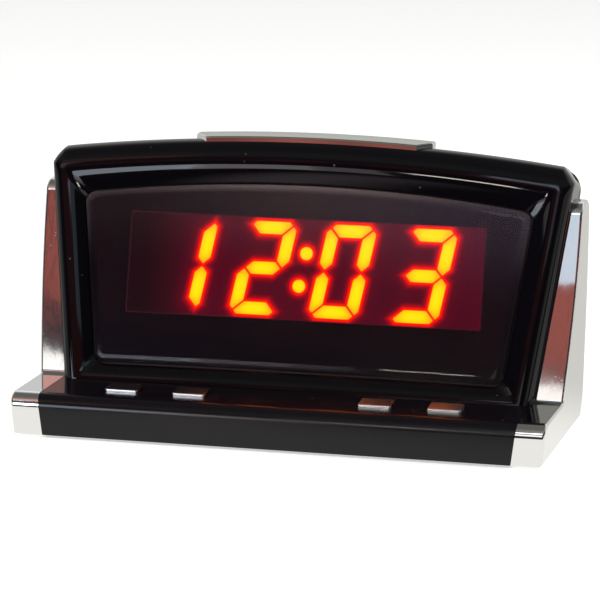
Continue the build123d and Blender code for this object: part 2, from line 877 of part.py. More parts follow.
def make_contacts():
    """Leaf springs at the cells' flat ends, and plates with a raised button at their nubs."""
    width, height, depth = bay_box()
    reach = cell_end_room - seam_gap
    on_wall = (Align.MIN, Align.CENTER, Align.CENTER)
    flat = Box(contact_thickness, contact_width, contact_width, align=on_wall)
    button = Cylinder(cell_nub_radius, reach, align=(Align.CENTER, Align.CENTER, Align.MIN))
    nub_plate = flat + Rot(0, 90, 0) * button
    root = contact_thickness / 2
    tip = reach - root
    bend = [(root, -contact_width / 2), (root, contact_width / 2), (tip, contact_tip_width), (tip, -root)]
    leaf = extrude(trace(Polyline(*bend), contact_thickness), contact_width / 2, both=True)
    leaf = Rot(90, 0, 0) * leaf
    contacts = []
    for side, nub_place in ((-1, 1), (1, 0)):
        for piece, place in ((nub_plate, nub_place), (leaf, 1 - nub_place)):
            turned = mirror(piece, about=Plane.YZ) if side > 0 else piece
            contacts.append(Pos(bay_middle_x + side * width / 2, cell_y(), cell_height(place)) * turned)
    return Compound(children=contacts)


def make_jack():
    """Low-voltage supply socket: a moulded body with a round open collar."""
    body = Box(
        jack_body_width, jack_body_depth, jack_body_width, align=(Align.CENTER, Align.MAX, Align.CENTER)
    )
    body = Pos(0, rear_inner_y, 0) * fillet(body.edges().filter_by(Axis.Y), key_corner)
    collar_length = wall - jack_recess
    collar = Rot(-90, 0, 0) * Cylinder(
        jack_collar_radius, collar_length, align=(Align.CENTER, Align.CENTER, Align.MIN)
    )
    bore = Rot(90, 0, 0) * Cylinder(
        jack_bore_radius, jack_bore_depth + overrun, align=(Align.CENTER, Align.CENTER, Align.MIN)
    )
    jack = body + Pos(0, rear_inner_y, 0) * collar
    jack -= Pos(0, rear_y - jack_recess + overrun, 0) * bore
    return Pos(jack_x, 0, foot_stand + jack_height) * jack


def make_jack_pin():
    """Metal centre pin of the supply socket, with a rounded tip."""
    pin = Rot(-90, 0, 0) * Cylinder(
        jack_pin_radius, jack_pin_length, align=(Align.CENTER, Align.CENTER, Align.MIN)
    )
    tip = pin.edges().sort_by(Axis.Y)[-1]
    pin = fillet(tip, jack_pin_round)
    seat_y = rear_y - jack_recess - jack_bore_depth
    return Pos(jack_x, seat_y, foot_stand + jack_height) * pin


def make_switch_can():
    """Folded metal case of the alarm switch, open in front for its slider."""
    can = Box(
        switch_can_width, switch_can_depth, switch_can_height, align=(Align.CENTER, Align.MAX, Align.CENTER)
    )
    can = fillet(can.edges().filter_by(Axis.Y), key_edge_round)
    room_width = knob_width + switch_travel + slide_gap * 2
    room = Box(room_width, (knob_inside + slide_gap) * 2, knob_height + slide_gap)
    middle = switch_x + switch_travel / 2
    return Pos(middle, rear_inner_y, foot_stand + switch_height) * (can - room)


def make_switch_knob():
    """Slider of the alarm switch, with ridges for a fingernail."""
    depth = knob_inside + wall + knob_proud
    knob = Box(knob_width, depth, knob_height, align=(Align.CENTER, Align.MIN, Align.CENTER))
    knob = fillet(knob.faces().sort_by(Axis.Y)[-1].edges(), key_edge_round)
    for side in (-1, 1):
        groove = Cylinder(knob_groove_radius, knob_height + overrun)
        knob -= Pos(side * knob_groove_offset, depth, 0) * groove
    return Pos(switch_x, rear_inner_y - knob_inside, foot_stand + switch_height) * knob


def base_profile(shrink=0.0):
    """Side view of the base, from its upright front to its back, drawn in by a wall."""
    front = front_y + shrink
    back = back_y - shrink
    low = foot_stand
    high = base_top - shrink
    lip = base_front_round - shrink
    tail = base_back_round - min(shrink, base_back_round / 2)
    outline = make_face(Polyline((front, low), (back, low), (back, high), (front, high), close=True))
    outline = fillet(outline.vertices().sort_by(Axis.X)[:2].sort_by(Axis.Y)[-1], lip)
    return fillet(outline.vertices().sort_by(Axis.X)[-2:].sort_by(Axis.Y)[-1], tail)


def across_clock(face, half):
    """Side-view face pushed out to both sides of the middle."""
    return extrude(Plane.YZ * face, half, both=True)


def key_wedge(margin, low, high_front, high_back):
    """One key's body: rounded plan under a top that rises towards the back."""
    width = key_width + margin * 2
    depth = key_depth + margin * 2
    side = [(0, low), (depth, low), (depth, high_back), (0, high_front)]
    wedge = across_clock(make_face(Polyline(*side, close=True)), width / 2)
    uprights = [edge for edge in wedge.edges() if abs(edge.tangent_at(0.5).Z) > cos(radians(1))]
    return Pos(0, front_y + key_front_y - margin, 0) * fillet(uprights, key_corner)


def make_base_shell():
    """Upper shell of the base: key holes, cable gap, posts and screw holes."""
    block = across_clock(base_profile(), overall_width / 2) & between_sides(-seam_gap)
    hollow = across_clock(base_profile(wall), overall_width / 2) & between_sides(-seam_gap - wall)
    under = Box(overall_width, base_depth - wall * 2, (wall + overrun) * 2)
    under = Pos(0, 0, foot_stand) * under & between_sides(-seam_gap - wall)
    shell = block - hollow - under
    posts = []
    post_length = base_top - plate_top - wall / 2
    post = Cylinder(boss_radius, post_length, align=(Align.CENTER, Align.CENTER, Align.MIN))
    for x, y in plate_screw_places():
        posts.append(Pos(x, y, plate_top) * post)
    shell += (Part() + posts) & block
    hole_width = key_width + slide_gap * 2
    hole_depth = key_depth + slide_gap * 2
    hole = Box(hole_width, hole_depth, (wall + overrun) * 2)
    hole = fillet(hole.edges().filter_by(Axis.Z), key_corner + slide_gap)
    for x in key_places:
        shell -= Pos(x, front_y + key_front_y + key_depth / 2, base_top) * hole
    gap_depth = service_gap_back_y - service_gap_front_y
    gap = Box(service_gap_half * 2, gap_depth, (wall + overrun) * 2)
    gap = fillet(gap.edges().filter_by(Axis.Z), boss_radius)
    shell -= Pos(0, front_y + service_gap_front_y + gap_depth / 2, base_top) * gap
    pilot = screw_radius + screw_fit
    for x, y in plate_screw_places():
        shell -= Pos(x, y, plate_top + screw_reach / 2) * Cylinder(pilot, screw_reach)
    for place in (stand_screw_front_y, stand_screw_back_y):
        shell -= stand_bars(pilot, ceiling_z - overrun, base_top + overrun, front_y + place)
    shell -= both_sides(side_bars(pilot, -wall - overrun, overrun))
    return shell


def plate_screw_places():
    """Screws that hold the bottom plate, at its four corners."""
    return [(x * plate_screw_x, y * plate_screw_y) for x in (-1, 1) for y in (-1, 1)]


def board_screw_places(half, front, depth):
    """Screws at the corners of a board in the base."""
    low = front_y + front + board_screw_inset
    high = front_y + front + depth - board_screw_inset
    across = half - board_screw_inset
    return [(x, y) for x in (-across, across) for y in (low, high)]


def key_screw_places():
    """Screws of the key board, between its keys and beside its flat cable."""
    y = front_y + key_board_front_y + key_board_depth - board_screw_inset
    outer = (key_places[-1] + key_places[-2]) / 2
    return [(x, y) for x in (-outer, -ribbon_width, ribbon_width, outer)]


def make_base_plate():
    """Bottom plate with board posts, sunk screw seats and recesses for the pads."""
    depth = base_depth - wall * 2 - slide_gap * 2
    plate = Box(overall_width, depth, plate_thickness, align=(Align.CENTER, Align.CENTER, Align.MIN))
    plate = Pos(0, 0, foot_stand) * plate & between_sides(-seam_gap - wall - slide_gap)
    uprights = [edge for edge in plate.edges() if abs(edge.tangent_at(0.5).Z) > cos(radians(20))]
    plate = fillet(uprights, boss_radius)
    post = Cylinder(board_post_radius, board_stand, align=(Align.CENTER, Align.CENTER, Align.MIN))
    small = Cylinder(board_screw_radius + screw_fit, board_screw_reach * 2)
    main = board_screw_places(main_board_half, main_board_front_y, main_board_depth)
    for x, y in main + key_screw_places():
        plate += Pos(x, y, plate_top) * post
        plate -= Pos(x, y, board_low_z) * small
    for x, y in plate_screw_places():
        plate -= Pos(x, y, foot_stand) * Cylinder(screw_radius + screw_fit, (plate_thickness + overrun) * 2)
        plate -= Pos(x, y, foot_stand) * Cylinder(screw_head_radius + slide_gap, plate_head_sink * 2)
    for x in (-pad_x, pad_x):
        for y in (-pad_y, pad_y):
            plate -= Pos(x, y, foot_stand) * Cylinder(pad_radius + seam_gap, pad_recess * 2)
    return plate


def make_pads():
    """Four round rubber pads, let into the bottom plate."""
    pad = Cylinder(pad_radius, foot_stand + pad_recess, align=(Align.CENTER, Align.CENTER, Align.MIN))
    pad = chamfer(pad.edges().sort_by(Axis.Z)[0], pad_edge)
    pads = [Pos(x, y, 0) * pad for x in (-pad_x, pad_x) for y in (-pad_y, pad_y)]
    return Compound(children=pads)


def upright_front(height, inset=0.0):
    """Depth of the upright's front edge, which is parallel to the tilted face."""
    return front_y + upright_foot_y + height * tan(tilt) + inset


def side_profile():
    """Side view of a side frame: low foot, raked upright and waisted back edge."""
    low = foot_stand
    foot_top = base_top
    high = foot_stand + upright_height
    waist = (back_y - upright_waist_inset, foot_stand + upright_waist_height)
    heel = (back_y, foot_stand + upright_back_foot_height)
    crown = (back_y - upright_top_inset, high)
    outline = make_face([
        Polyline(
            heel, (back_y, low), (front_y, low), (front_y, foot_top),
            (upright_front(base_height), foot_top),
            (upright_front(upright_height), high), crown,
        ),
        ThreePointArc(crown, waist, heel),
    ])
    corners = outline.vertices()
    nose = [p for p in corners if p.X < front_y + overrun and p.Y > foot_top - overrun]
    outline = fillet(nose, base_front_round)
    brow = [p for p in outline.vertices() if p.Y > high - overrun]
    outline = fillet(brow, upright_top_round)
    bend = [p for p in outline.vertices() if abs(p.Y - heel[1]) < overrun / 2 and p.X > back_y - overrun]
    outline = fillet(bend, upright_heel_round)
    root = [
        p for p in outline.vertices()
        if abs(p.Y - foot_top) < overrun / 2 and abs(p.X - upright_front(base_height)) < overrun / 2
    ]
    return fillet(root, upright_root_round)


def frame_outer(shrink=0.0):
    """Space inside the side frames' bowed outer faces, drawn in by a wall."""
    bow = overall_width / 2 - frame_foot_half
    radius = (bow**2 + frame_widest_height**2) / (2 * bow)
    centre = overall_width / 2 - radius
    low = -frame_widest_height / 2
    high = frame_widest_height * 2

    def half_at(height):
        """Half-width of the bowed face at a height."""
        return centre + sqrt(radius**2 - (height - frame_widest_height) ** 2) - shrink

    side = ThreePointArc(
        (half_at(low), low), (half_at(frame_widest_height), frame_widest_height), (half_at(high), high)
    )
    rest = Polyline((half_at(high), high), (0, high), (0, low), (half_at(low), low))
    section = Plane.XZ * make_face([side, rest])
    return Pos(0, 0, foot_stand) * extrude(section, base_depth, both=True)


def make_side_frame():
    """Right side frame: a hollow chromed moulding, open towards the housing."""
    profile = side_profile()
    reach = overall_width / 2
    block = extrude(Plane.YZ * profile, reach) & frame_outer()
    outer_face = block.faces().sort_by(Axis.X)[-1]
    block = fillet(outer_face.edges(), frame_edge_round)
    hollow = extrude(Plane.YZ * offset(profile, -frame_wall), reach) & frame_outer(frame_wall)
    bosses = side_bars(boss_radius, -overrun, far) & block
    frame = block - hollow + bosses
    frame -= between_sides(0.0)
    return frame - side_bars(screw_radius + screw_fit, -overrun, side_screw_reach + slide_gap)


def bar_blank(lowered=0.0, sunk=0.0):
    """Bar's side view, crowned front to back, turned about the axis of the arch."""
    slope = radians(bar_crown_slope)
    brow = crest_top + top_round * sin(acos(1 - bar_front_depth / top_round)) + bar_front_height
    centre_depth = bar_front_depth + bar_crown_radius * sin(slope)
    centre_up = brow - bar_crown_radius * cos(slope)

    def crown(depth):
        """Height of the crowned top over the face's foot, at a depth."""
        return centre_up + sqrt(bar_crown_radius**2 - (depth - centre_depth) ** 2) - lowered

    front = bar_front_depth - overrun
    back = bar_front_depth + bar_depth + overrun
    middle = (front + back) / 2
    low = full_top - wall - bar_skirt - sunk
    view = make_face([
        Polyline((back, crown(back)), (back, low), (front, low), (front, crown(front))),
        ThreePointArc((front, crown(front)), (middle, crown(middle)), (back, crown(back))),
    ])
    view = Plane(origin=face_foot, x_dir=inward, z_dir=(1, 0, 0)) * view
    arch_axis = Axis(tuple(on_face(0, arch_centre, 0)), tuple(inward))
    reach = degrees((bar_half + overrun * 2) / arch_radius)
    return revolve(view.rotate(arch_axis, -reach), arch_axis, reach * 2)


def snooze_middle():
    """Depth of the snooze switch, under the middle of the bar."""
    return snooze_board_front + snooze_board_width / 2


def make_snooze_bar():
    """Snooze bar: a thin cap with end hooks and a post over the switch."""
    plan = lid_plane(snooze_board_level)
    cap = bar_blank() & (plan * extrude(bar_outline(), far))
    crown_face = cap.faces().sort_by(Axis(tuple(face_foot), tuple(up_slope)))[-1]
    cap = fillet(crown_face.edges(), bar_edge_round)
    cap -= bar_blank(bar_wall, overrun) & (plan * extrude(bar_outline(-bar_wall), far))
    rest = snooze_board_level + board_thickness + tact_height + tact_button_height
    foot = rest + bar_travel + press_free
    length = full_top + bar_front_height - bar_wall / 2 - foot
    post = Cylinder(bar_post_radius, length, align=(Align.CENTER, Align.CENTER, Align.MIN))
    post = lid_plane(foot) * Pos(0, snooze_middle(), 0) * post
    sag = bar_half**2 / (2 * arch_radius)
    hook_top = full_top - wall - sag - seam_gap * 2
    hook = Box(bar_hook * 2, bar_hook_depth, bar_hook_height, align=(Align.CENTER, Align.MIN, Align.MAX))
    hooks = both_sides(lid_plane(hook_top) * Pos(bar_half, top_round + seam_gap, 0) * hook)
    hooks -= lid_plane(snooze_board_level) * extrude(bar_outline(-bar_wall), far)
    return cap + post + hooks


def make_key():
    """One key, at the middle: wedge cap, flange under the base's top and stem."""
    key = key_wedge(0.0, ceiling_z, base_top + key_rise_front, base_top + key_rise_back)
    top_face = key.faces().sort_by(Axis.Z)[-1]
    key = fillet(top_face.edges(), key_edge_round)
    middle_y = front_y + key_front_y + key_depth / 2
    flange = Box(
        key_width + key_flange * 2, key_depth + key_flange * 2, key_flange_thickness,
        align=(Align.CENTER, Align.CENTER, Align.MAX),
    )
    flange = fillet(flange.edges().filter_by(Axis.Z), key_corner)
    low = tact_top + key_travel + press_free
    stem = Cylinder(key_stem_radius, ceiling_z - low, align=(Align.CENTER, Align.CENTER, Align.MIN))
    return key + Pos(0, middle_y, ceiling_z) * flange + Pos(0, middle_y, low) * stem


def tact_body():
    """Small push switch: square body with its corners taken off."""
    body = Box(tact_size, tact_size, tact_height, align=(Align.CENTER, Align.CENTER, Align.MIN))
    return chamfer(body.edges().filter_by(Axis.Z), tact_corner)


def tact_button():
    """Round button of a push switch, standing on its body."""
    button = Cylinder(
        tact_button_radius, tact_button_height, align=(Align.CENTER, Align.CENTER, Align.MIN)
    )
    return Pos(0, 0, tact_height) * button


def at_keys(piece):
    """One copy of a piece under each key, on the key board."""
    y = front_y + key_front_y + key_depth / 2
    return Compound(children=[Pos(x, y, board_top_z) * piece for x in key_places])


def under_bar(piece):
    """A piece on the snooze board, under the middle of the bar."""
    return lid_plane(snooze_board_level + board_thickness) * Pos(0, snooze_middle(), 0) * piece


def flat_board(half, front, depth, screws):
    """Circuit board in the base, with rounded corners and its screw holes."""
    board = Box(half * 2, depth, board_thickness, align=(Align.CENTER, Align.MIN, Align.MIN))
    board = Pos(0, front_y + front, board_low_z) * fillet(board.edges().filter_by(Axis.Z), board_corner)
    hole = Cylinder(board_screw_radius + slide_gap, (board_thickness + overrun) * 2)
    return board - [Pos(x, y, board_low_z) * hole for x, y in screws]


def make_key_board():
    """Narrow board that carries the four push switches."""
    return flat_board(key_board_half, key_board_front_y, key_board_depth, key_screw_places())


def make_main_board():
    """Board with the clock chip, its supply and the buzzer."""
    screws = board_screw_places(main_board_half, main_board_front_y, main_board_depth)
    return flat_board(main_board_half, main_board_front_y, main_board_depth, screws)


def make_snooze_board():
    """Narrow board that hangs under the housing's top, below the bar."""
    board = Box(
        snooze_board_half * 2, snooze_board_width, board_thickness,
        align=(Align.CENTER, Align.CENTER, Align.MIN),
    )
    board = fillet(board.edges().filter_by(Axis.Z), board_corner)
    hole = Cylinder(board_screw_radius + slide_gap, (board_thickness + overrun) * 2)
    board -= both_sides(Pos(snooze_boss_x, 0, 0) * hole)
    return lid_plane(snooze_board_level) * Pos(0, snooze_middle(), 0) * board


def on_main_board(x, inset):
    """Place on the main board, so far across and so far behind its front edge."""
    return Pos(x, front_y + main_board_front_y + inset, board_top_z)


def make_clock_chip():
    """Clock chip: long moulded body on two rows of bent legs."""
    body = Box(chip_length, chip_width, chip_height, align=(Align.CENTER, Align.CENTER, Align.MIN))
    body = Pos(0, 0, chip_stand) * chamfer(body.edges(), chip_edge)
    body -= Pos(-chip_length / 2, 0, chip_stand + chip_height) * Cylinder(chip_notch_radius, chip_stand)
    knee = chip_stand + chip_height / 2
    leg = Box(chip_leg_width, chip_leg_width, knee, align=(Align.CENTER, Align.CENTER, Align.MIN))
    arm_length = chip_row_half - chip_width / 2
    arm = Box(chip_leg_width, arm_length, chip_leg_width, align=(Align.CENTER, Align.MAX, Align.MAX))
    leg = Pos(0, chip_row_half, 0) * leg + Pos(0, chip_row_half, knee) * arm
    chip = body
    for number in range(chip_leg_count):
        across = (number - (chip_leg_count - 1) / 2) * chip_length / chip_leg_count
        row = Pos(across, 0, 0) * leg
        chip += row + mirror(row, about=Plane.XZ)
    return on_main_board(chip_x, chip_inset) * chip


def make_capacitors():
    """Three can capacitors, each with a rolled groove near its foot."""
    cans = []
    for radius, height, x in zip(cap_radii, cap_heights, cap_places):
        groove = radius * cap_groove_share
        low = radius * cap_groove_height_share
        view = Polyline(
            (0, 0), (radius, 0), (radius, low), (radius - groove, low + groove),
            (radius, low + groove * 2), (radius, height - groove), (radius - groove, height),
            (0, height), close=True,
        )
        can = revolve(Plane.XZ * make_face(view), Axis.Z)
        cans.append(on_main_board(x, cap_inset) * can)
    return Compound(children=cans)


def make_buzzer():
    """Round sounder with a hole in its top."""
    can = Cylinder(buzzer_radius, buzzer_height, align=(Align.CENTER, Align.CENTER, Align.MIN))
    can = chamfer(can.edges().sort_by(Axis.Z)[-1], key_edge_round)
    can -= Pos(0, 0, buzzer_height) * Cylinder(buzzer_hole, buzzer_height)
    return on_main_board(buzzer_x, buzzer_inset) * can


def make_crystal():
    """Timing crystal in a low oval can."""
    can = extrude(SlotOverall(crystal_length, crystal_width), crystal_height)
    can = chamfer(can.faces().sort_by(Axis.Z)[-1].edges(), key_edge_round)
    return on_main_board(crystal_x, crystal_inset) * can


def make_regulator():
    """Voltage regulator standing on the board, with a holed tab on top."""
    body = Box(
        regulator_width, regulator_depth, regulator_height, align=(Align.CENTER, Align.MIN, Align.MIN)
    )
    tab_height = regulator_height + regulator_tab
    tab = Box(
        regulator_width, regulator_tab_thickness, tab_height, align=(Align.CENTER, Align.MAX, Align.MIN)
    )
    hole = Pos(0, 0, tab_height - regulator_tab / 2) * Rot(90, 0, 0) * Cylinder(
        regulator_hole, regulator_depth * 2
    )
    return on_main_board(regulator_x, regulator_inset) * (body + tab - hole)


def ribbon(points, bend):
    """Flat cable that follows a bent route in side view."""
    route = FilletPolyline(*points, radius=bend)
    return across_clock(trace(route, ribbon_thickness), ribbon_width / 2)


def ribbon_route():
    """Points of the display's flat cable: end on each connector, and the bend."""
    high = on_face(0, connector_level, board_back + connector_size / 2)
    bend = high - up_slope * ribbon_drop
    return [(high.Y, high.Z), (bend.Y, bend.Z), (bend.Y, board_top_z + connector_size)]


def make_display_ribbon():
    """Flat cable from the main board up to the display's board."""
    return ribbon(ribbon_route(), ribbon_bend)


def make_connectors():
    """Cable connectors on the display's board and on the main board."""
    body = Box(ribbon_width + wall, connector_size, connector_size)
    body = chamfer(body.edges().filter_by(Axis.X), connector_edge)
    upper = face_plane(board_back + connector_size / 2) * Pos(0, connector_level + connector_size / 2, 0)
    foot_y, foot_z = ribbon_route()[-1]
    lower = Pos(0, foot_y, foot_z - connector_size / 2)
    return Compound(children=[upper * body, lower * body])


def make_key_ribbon():
    """Flat cable that joins the key board to the main board."""
    level = board_top_z + ribbon_thickness / 2
    key_edge = front_y + key_board_front_y + key_board_depth
    main_edge = front_y + main_board_front_y
    points = [
        (key_edge - ribbon_lap / 2, level),
        (key_edge, level),
        ((key_edge + main_edge) / 2, level + lead_bend),
        (main_edge, level),
        (main_edge + ribbon_lap / 2, level),
    ]
    return ribbon(points, lead_bend)


def make_snooze_leads():
    """Two insulated wires from the snooze board to the display's board."""
    side = board_back + lead_radius
    start = snooze_board_front + snooze_board_width - lead_radius * 2
    mid_up = (snooze_board_level + board_high) / 2
    leads = []
    for across in (-lead_bend, lead_bend):
        route = FilletPolyline(
            on_face(across, snooze_board_level, start),
            on_face(across, mid_up + lead_bend, start),
            on_face(across, mid_up - lead_bend, side),
            on_face(across, board_high - lead_bend * 2, side),
            radius=lead_bend,
        )
        section = Plane(origin=route @ 0, z_dir=route % 0) * Circle(lead_radius)
        leads.append(sweep(section, path=route))
    return Compound(children=leads)


def screw(reach, radius=screw_radius, head=screw_head_radius, height=screw_head_height):
    """Screw: its head stands on the local XY plane, and its shank goes down."""
    cap = Cylinder(head, height, align=(Align.CENTER, Align.CENTER, Align.MIN))
    return cap + Cylinder(radius, reach, align=(Align.CENTER, Align.CENTER, Align.MAX))


def make_cover_screws():
    """Four screws at the bottom of the rear cover's tubes."""
    floor = front_depth + cover_tube_floor
    reach = cover_tube_floor + screw_reach - slide_gap
    low_x = seat_half(cover_screw_low, front_wall_depth, cover_screw_inset - wall)
    high_x = seat_half(cover_screw_high, front_wall_depth, cover_screw_inset)
    screws = []
    for across, up in ((low_x, cover_screw_low), (high_x, cover_screw_high)):
        for side in (-1, 1):
            seat = Plane(origin=on_face(side * across, up, floor), z_dir=inward)
            screws.append(seat * screw(reach))
    return Compound(children=screws)


def make_stand_screws():
    """Four screws from inside the base up into the housing's posts."""
    screws = []
    for place in (stand_screw_front_y, stand_screw_back_y):
        for side in (-1, 1):
            seat = Plane(origin=(side * stand_screw_x, front_y + place, ceiling_z), z_dir=(0, 0, -1))
            screws.append(seat * screw(wall + screw_reach - slide_gap))
    return Compound(children=screws)


def make_base_screws():
    """Four screws that hold the bottom plate, sunk in their seats."""
    screws = []
    for x, y in plate_screw_places():
        seat = Plane(origin=(x, y, foot_stand + plate_head_sink), z_dir=(0, 0, -1))
        reach = plate_thickness - plate_head_sink + screw_reach - slide_gap
        screws.append(seat * screw(reach, height=plate_head_sink - seam_gap))
    return Compound(children=screws)


def make_side_frame_screws():
    """Screws from inside the housing and the base into the side frames."""
    places = []
    for height in side_screw_heights:
        places.append((height, front_y + face_foot_y + height * tan(tilt) + side_screw_depth))
    for place in side_foot_screw_places:
        places.append((side_foot_screw_height, front_y + place))
    screws = []
    for height, y in places:
        seat = side_plane(height, y, 0.0)
        turned = Plane(origin=seat.origin - seat.z_dir * (wall + seam_gap), z_dir=seat.z_dir * -1)
        piece = turned * screw(wall + seam_gap + side_screw_reach)
        screws += [piece, mirror(piece, about=Plane.YZ)]
    return Compound(children=screws)


def make_board_screws():
    """Small screws of the four circuit boards."""
    small = (board_screw_radius, board_screw_head_radius, board_screw_head_height)
    piece = screw(board_thickness + board_screw_reach - slide_gap, *small)
    places = board_screw_places(main_board_half, main_board_front_y, main_board_depth)
    screws = [Pos(x, y, board_top_z) * piece for x, y in places + key_screw_places()]
    for up in (board_low + board_boss_margin, board_high - board_boss_margin):
        across = seat_half(up, module_back, board_boss_inset - wall)
        for side in (-1, 1):
            seat = Plane(origin=on_face(side * across, up, board_back), z_dir=inward)
            screws.append(seat * piece)
    for side in (-1, 1):
        place = on_face(side * snooze_boss_x, snooze_board_level, snooze_middle())
        screws.append(Plane(origin=place, z_dir=up_slope * -1) * piece)
    return Compound(children=screws)


def write(name, part):
    """Writes one piece, or one group of like pieces, as its own file."""
    part.label = name
    export_step(part, f"parts/{name}.step")


side_frame = make_side_frame()
key = make_key()
pieces = {
    "front_frame": make_front_frame(),
    "display_lens": make_lens(),
    "rear_cover": make_rear_cover(),
    "base_shell": make_base_shell(),
    "base_plate": make_base_plate(),
    "side_frame_right": side_frame,
    "side_frame_left": mirror(side_frame, about=Plane.YZ),
    "snooze_bar": make_snooze_bar(),
    "rubber_pads": make_pads(),
    "battery_door": make_battery_door(),
    "battery_cells": make_cells(),
    "battery_contacts": make_contacts(),
    "supply_socket": make_jack(),
    "supply_socket_pin": make_jack_pin(),
    "alarm_switch_case": make_switch_can(),
    "alarm_switch_knob": make_switch_knob(),
    "display_reflector": make_reflector(),
    "lit_segments": Compound(children=digit_bars()),
    "unlit_segments": Compound(children=digit_bars(lit=False)),
    "colon_dots": Compound(children=colon_bars()),
    "display_board": make_display_board(),
    "display_pins": make_display_pins(),
    "main_board": make_main_board(),
    "clock_chip": make_clock_chip(),
    "capacitors": make_capacitors(),
    "buzzer": make_buzzer(),
    "crystal": make_crystal(),
    "voltage_regulator": make_regulator(),
    "key_board": make_key_board(),
    "key_switches": at_keys(tact_body()),
    "key_switch_buttons": at_keys(tact_button()),
    "snooze_board": make_snooze_board(),
    "snooze_switch": under_bar(tact_body()),
    "snooze_switch_button": under_bar(tact_button()),
    "display_ribbon": make_display_ribbon(),
    "ribbon_connectors": make_connectors(),
    "key_ribbon": make_key_ribbon(),
    "snooze_leads": make_snooze_leads(),
    "rear_cover_screws": make_cover_screws(),
    "housing_screws": make_stand_screws(),
    "base_screws": make_base_screws(),
    "side_frame_screws": make_side_frame_screws(),
    "board_screws": make_board_screws(),
}
for key_name, key_x in zip(key_names, key_places):
    pieces[key_name] = Pos(key_x, 0, 0) * key
for piece_name, piece in pieces.items():
    write(piece_name, piece)
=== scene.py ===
import bpy
import numpy as np
from mathutils import Matrix


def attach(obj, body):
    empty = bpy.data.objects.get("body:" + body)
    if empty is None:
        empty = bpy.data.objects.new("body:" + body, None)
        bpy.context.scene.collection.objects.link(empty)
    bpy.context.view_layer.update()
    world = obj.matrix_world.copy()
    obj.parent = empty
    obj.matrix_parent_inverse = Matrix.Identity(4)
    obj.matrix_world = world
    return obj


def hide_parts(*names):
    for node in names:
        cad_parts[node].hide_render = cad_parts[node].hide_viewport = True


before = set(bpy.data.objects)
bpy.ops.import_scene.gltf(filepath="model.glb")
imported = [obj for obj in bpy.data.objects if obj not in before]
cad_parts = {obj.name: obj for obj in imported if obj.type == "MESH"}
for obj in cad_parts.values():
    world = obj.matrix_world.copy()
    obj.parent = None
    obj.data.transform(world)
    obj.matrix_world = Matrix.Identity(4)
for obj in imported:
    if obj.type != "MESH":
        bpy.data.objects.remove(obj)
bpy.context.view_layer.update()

# View of the photograph
# The clock stands turned a little to its right and is seen from slightly above, with a long
# lens. The place, turns and framing were fitted to edges of the clock in the photograph.
camera_place = (0.29441, -1.13712, 0.28953)
camera_turn, camera_dip, camera_roll = np.radians((14.524, 11.671, 0.125))
frame_pixels, sensor_width = 600, 36.0
focal_pixels = 3335.9
middle_pixel = (299.73, 300.47)

camera_data = bpy.data.cameras.new("photo_camera")
camera_data.sensor_width = sensor_width
camera_data.lens = focal_pixels / frame_pixels * sensor_width
camera_data.shift_x = 0.5 - middle_pixel[0] / frame_pixels
camera_data.shift_y = middle_pixel[1] / frame_pixels - 0.5
camera = bpy.data.objects.new("photo_camera", camera_data)
camera.matrix_world = (
    Matrix.Translation(camera_place)
    @ Matrix.Rotation(camera_turn, 4, "Z")
    @ Matrix.Rotation(np.pi / 2 - camera_dip, 4, "X")
    @ Matrix.Rotation(camera_roll, 4, "Z")
)
bpy.context.scene.collection.objects.link(camera)
bpy.context.scene.camera = camera
bpy.context.scene.view_settings.view_transform = "Standard"


# Floor, room and lamps
# A white floor under a studio that is dark overhead and pale behind, with a brown curtain in
# front. Two soft boxes light the clock. Small cards show only in the gloss black and the chrome.
class Field:
    """A shader socket that adds, multiplies and compares as a number does."""

    def __init__(self, tree, socket):
        self.tree, self.socket = tree, socket

    def node(self, kind, settings=None, sockets=None, out=0):
        """Adds a node to the same tree."""
        return shader_node(self.tree, kind, settings, sockets, out)

    def maths(self, operation, *values):
        """Works out one operation on one or two values."""
        return self.node("ShaderNodeMath", {"operation": operation}, dict(enumerate(values)))

    def __add__(self, other):
        return self.maths("ADD", self, other)

    def __sub__(self, other):
        return self.maths("SUBTRACT", self, other)

    def __mul__(self, other):
        return self.maths("MULTIPLY", self, other)

    def __abs__(self):
        return self.maths("ABSOLUTE", self)

    def most(self, other):
        """The larger of two values."""
        return self.maths("MAXIMUM", self, other)

    def ramp(self, low, high, start=0.0, end=1.0):
        """Smooth step: start where this is at low, end where it is at high."""
        limits = {0: self, 1: low, 2: high, 3: start, 4: end}
        return self.node("ShaderNodeMapRange", {"interpolation_type": "SMOOTHSTEP"}, limits)

    def blend(self, first, second):
        """A colour between two colours, by this share of the second."""
        return self.node(
            "ShaderNodeMix", {"data_type": "RGBA"}, {"Factor": self, "A": first, "B": second}, out="Result"
        )


def shader_node(tree, kind, settings=None, sockets=None, out=0):
    """Adds a node: its settings first, then the values or links of its sockets."""
    added = tree.nodes.new(kind)
    for key, value in (settings or {}).items():
        setattr(added, key, value)
    open_sockets = [s for s in added.inputs if s.enabled]
    for key, value in (sockets or {}).items():
        if isinstance(key, int):
            target = added.inputs[key]
        else:
            target = next(s for s in open_sockets if s.name == key)
        if isinstance(value, Field):
            tree.links.new(value.socket, target)
        elif isinstance(value, tuple) and len(value) == 3 and target.type == "RGBA":
            target.default_value = (*value, 1.0)
        else:
            target.default_value = value
    shown = [s for s in added.outputs if s.enabled]
    found = shown[out] if isinstance(out, int) else next(s for s in shown if s.name == out)
    return Field(tree, found)


def along_axis(vector, axis):
    """One axis of a vector."""
    return shader_node(vector.tree, "ShaderNodeSeparateXYZ", sockets={0: vector}, out=axis)


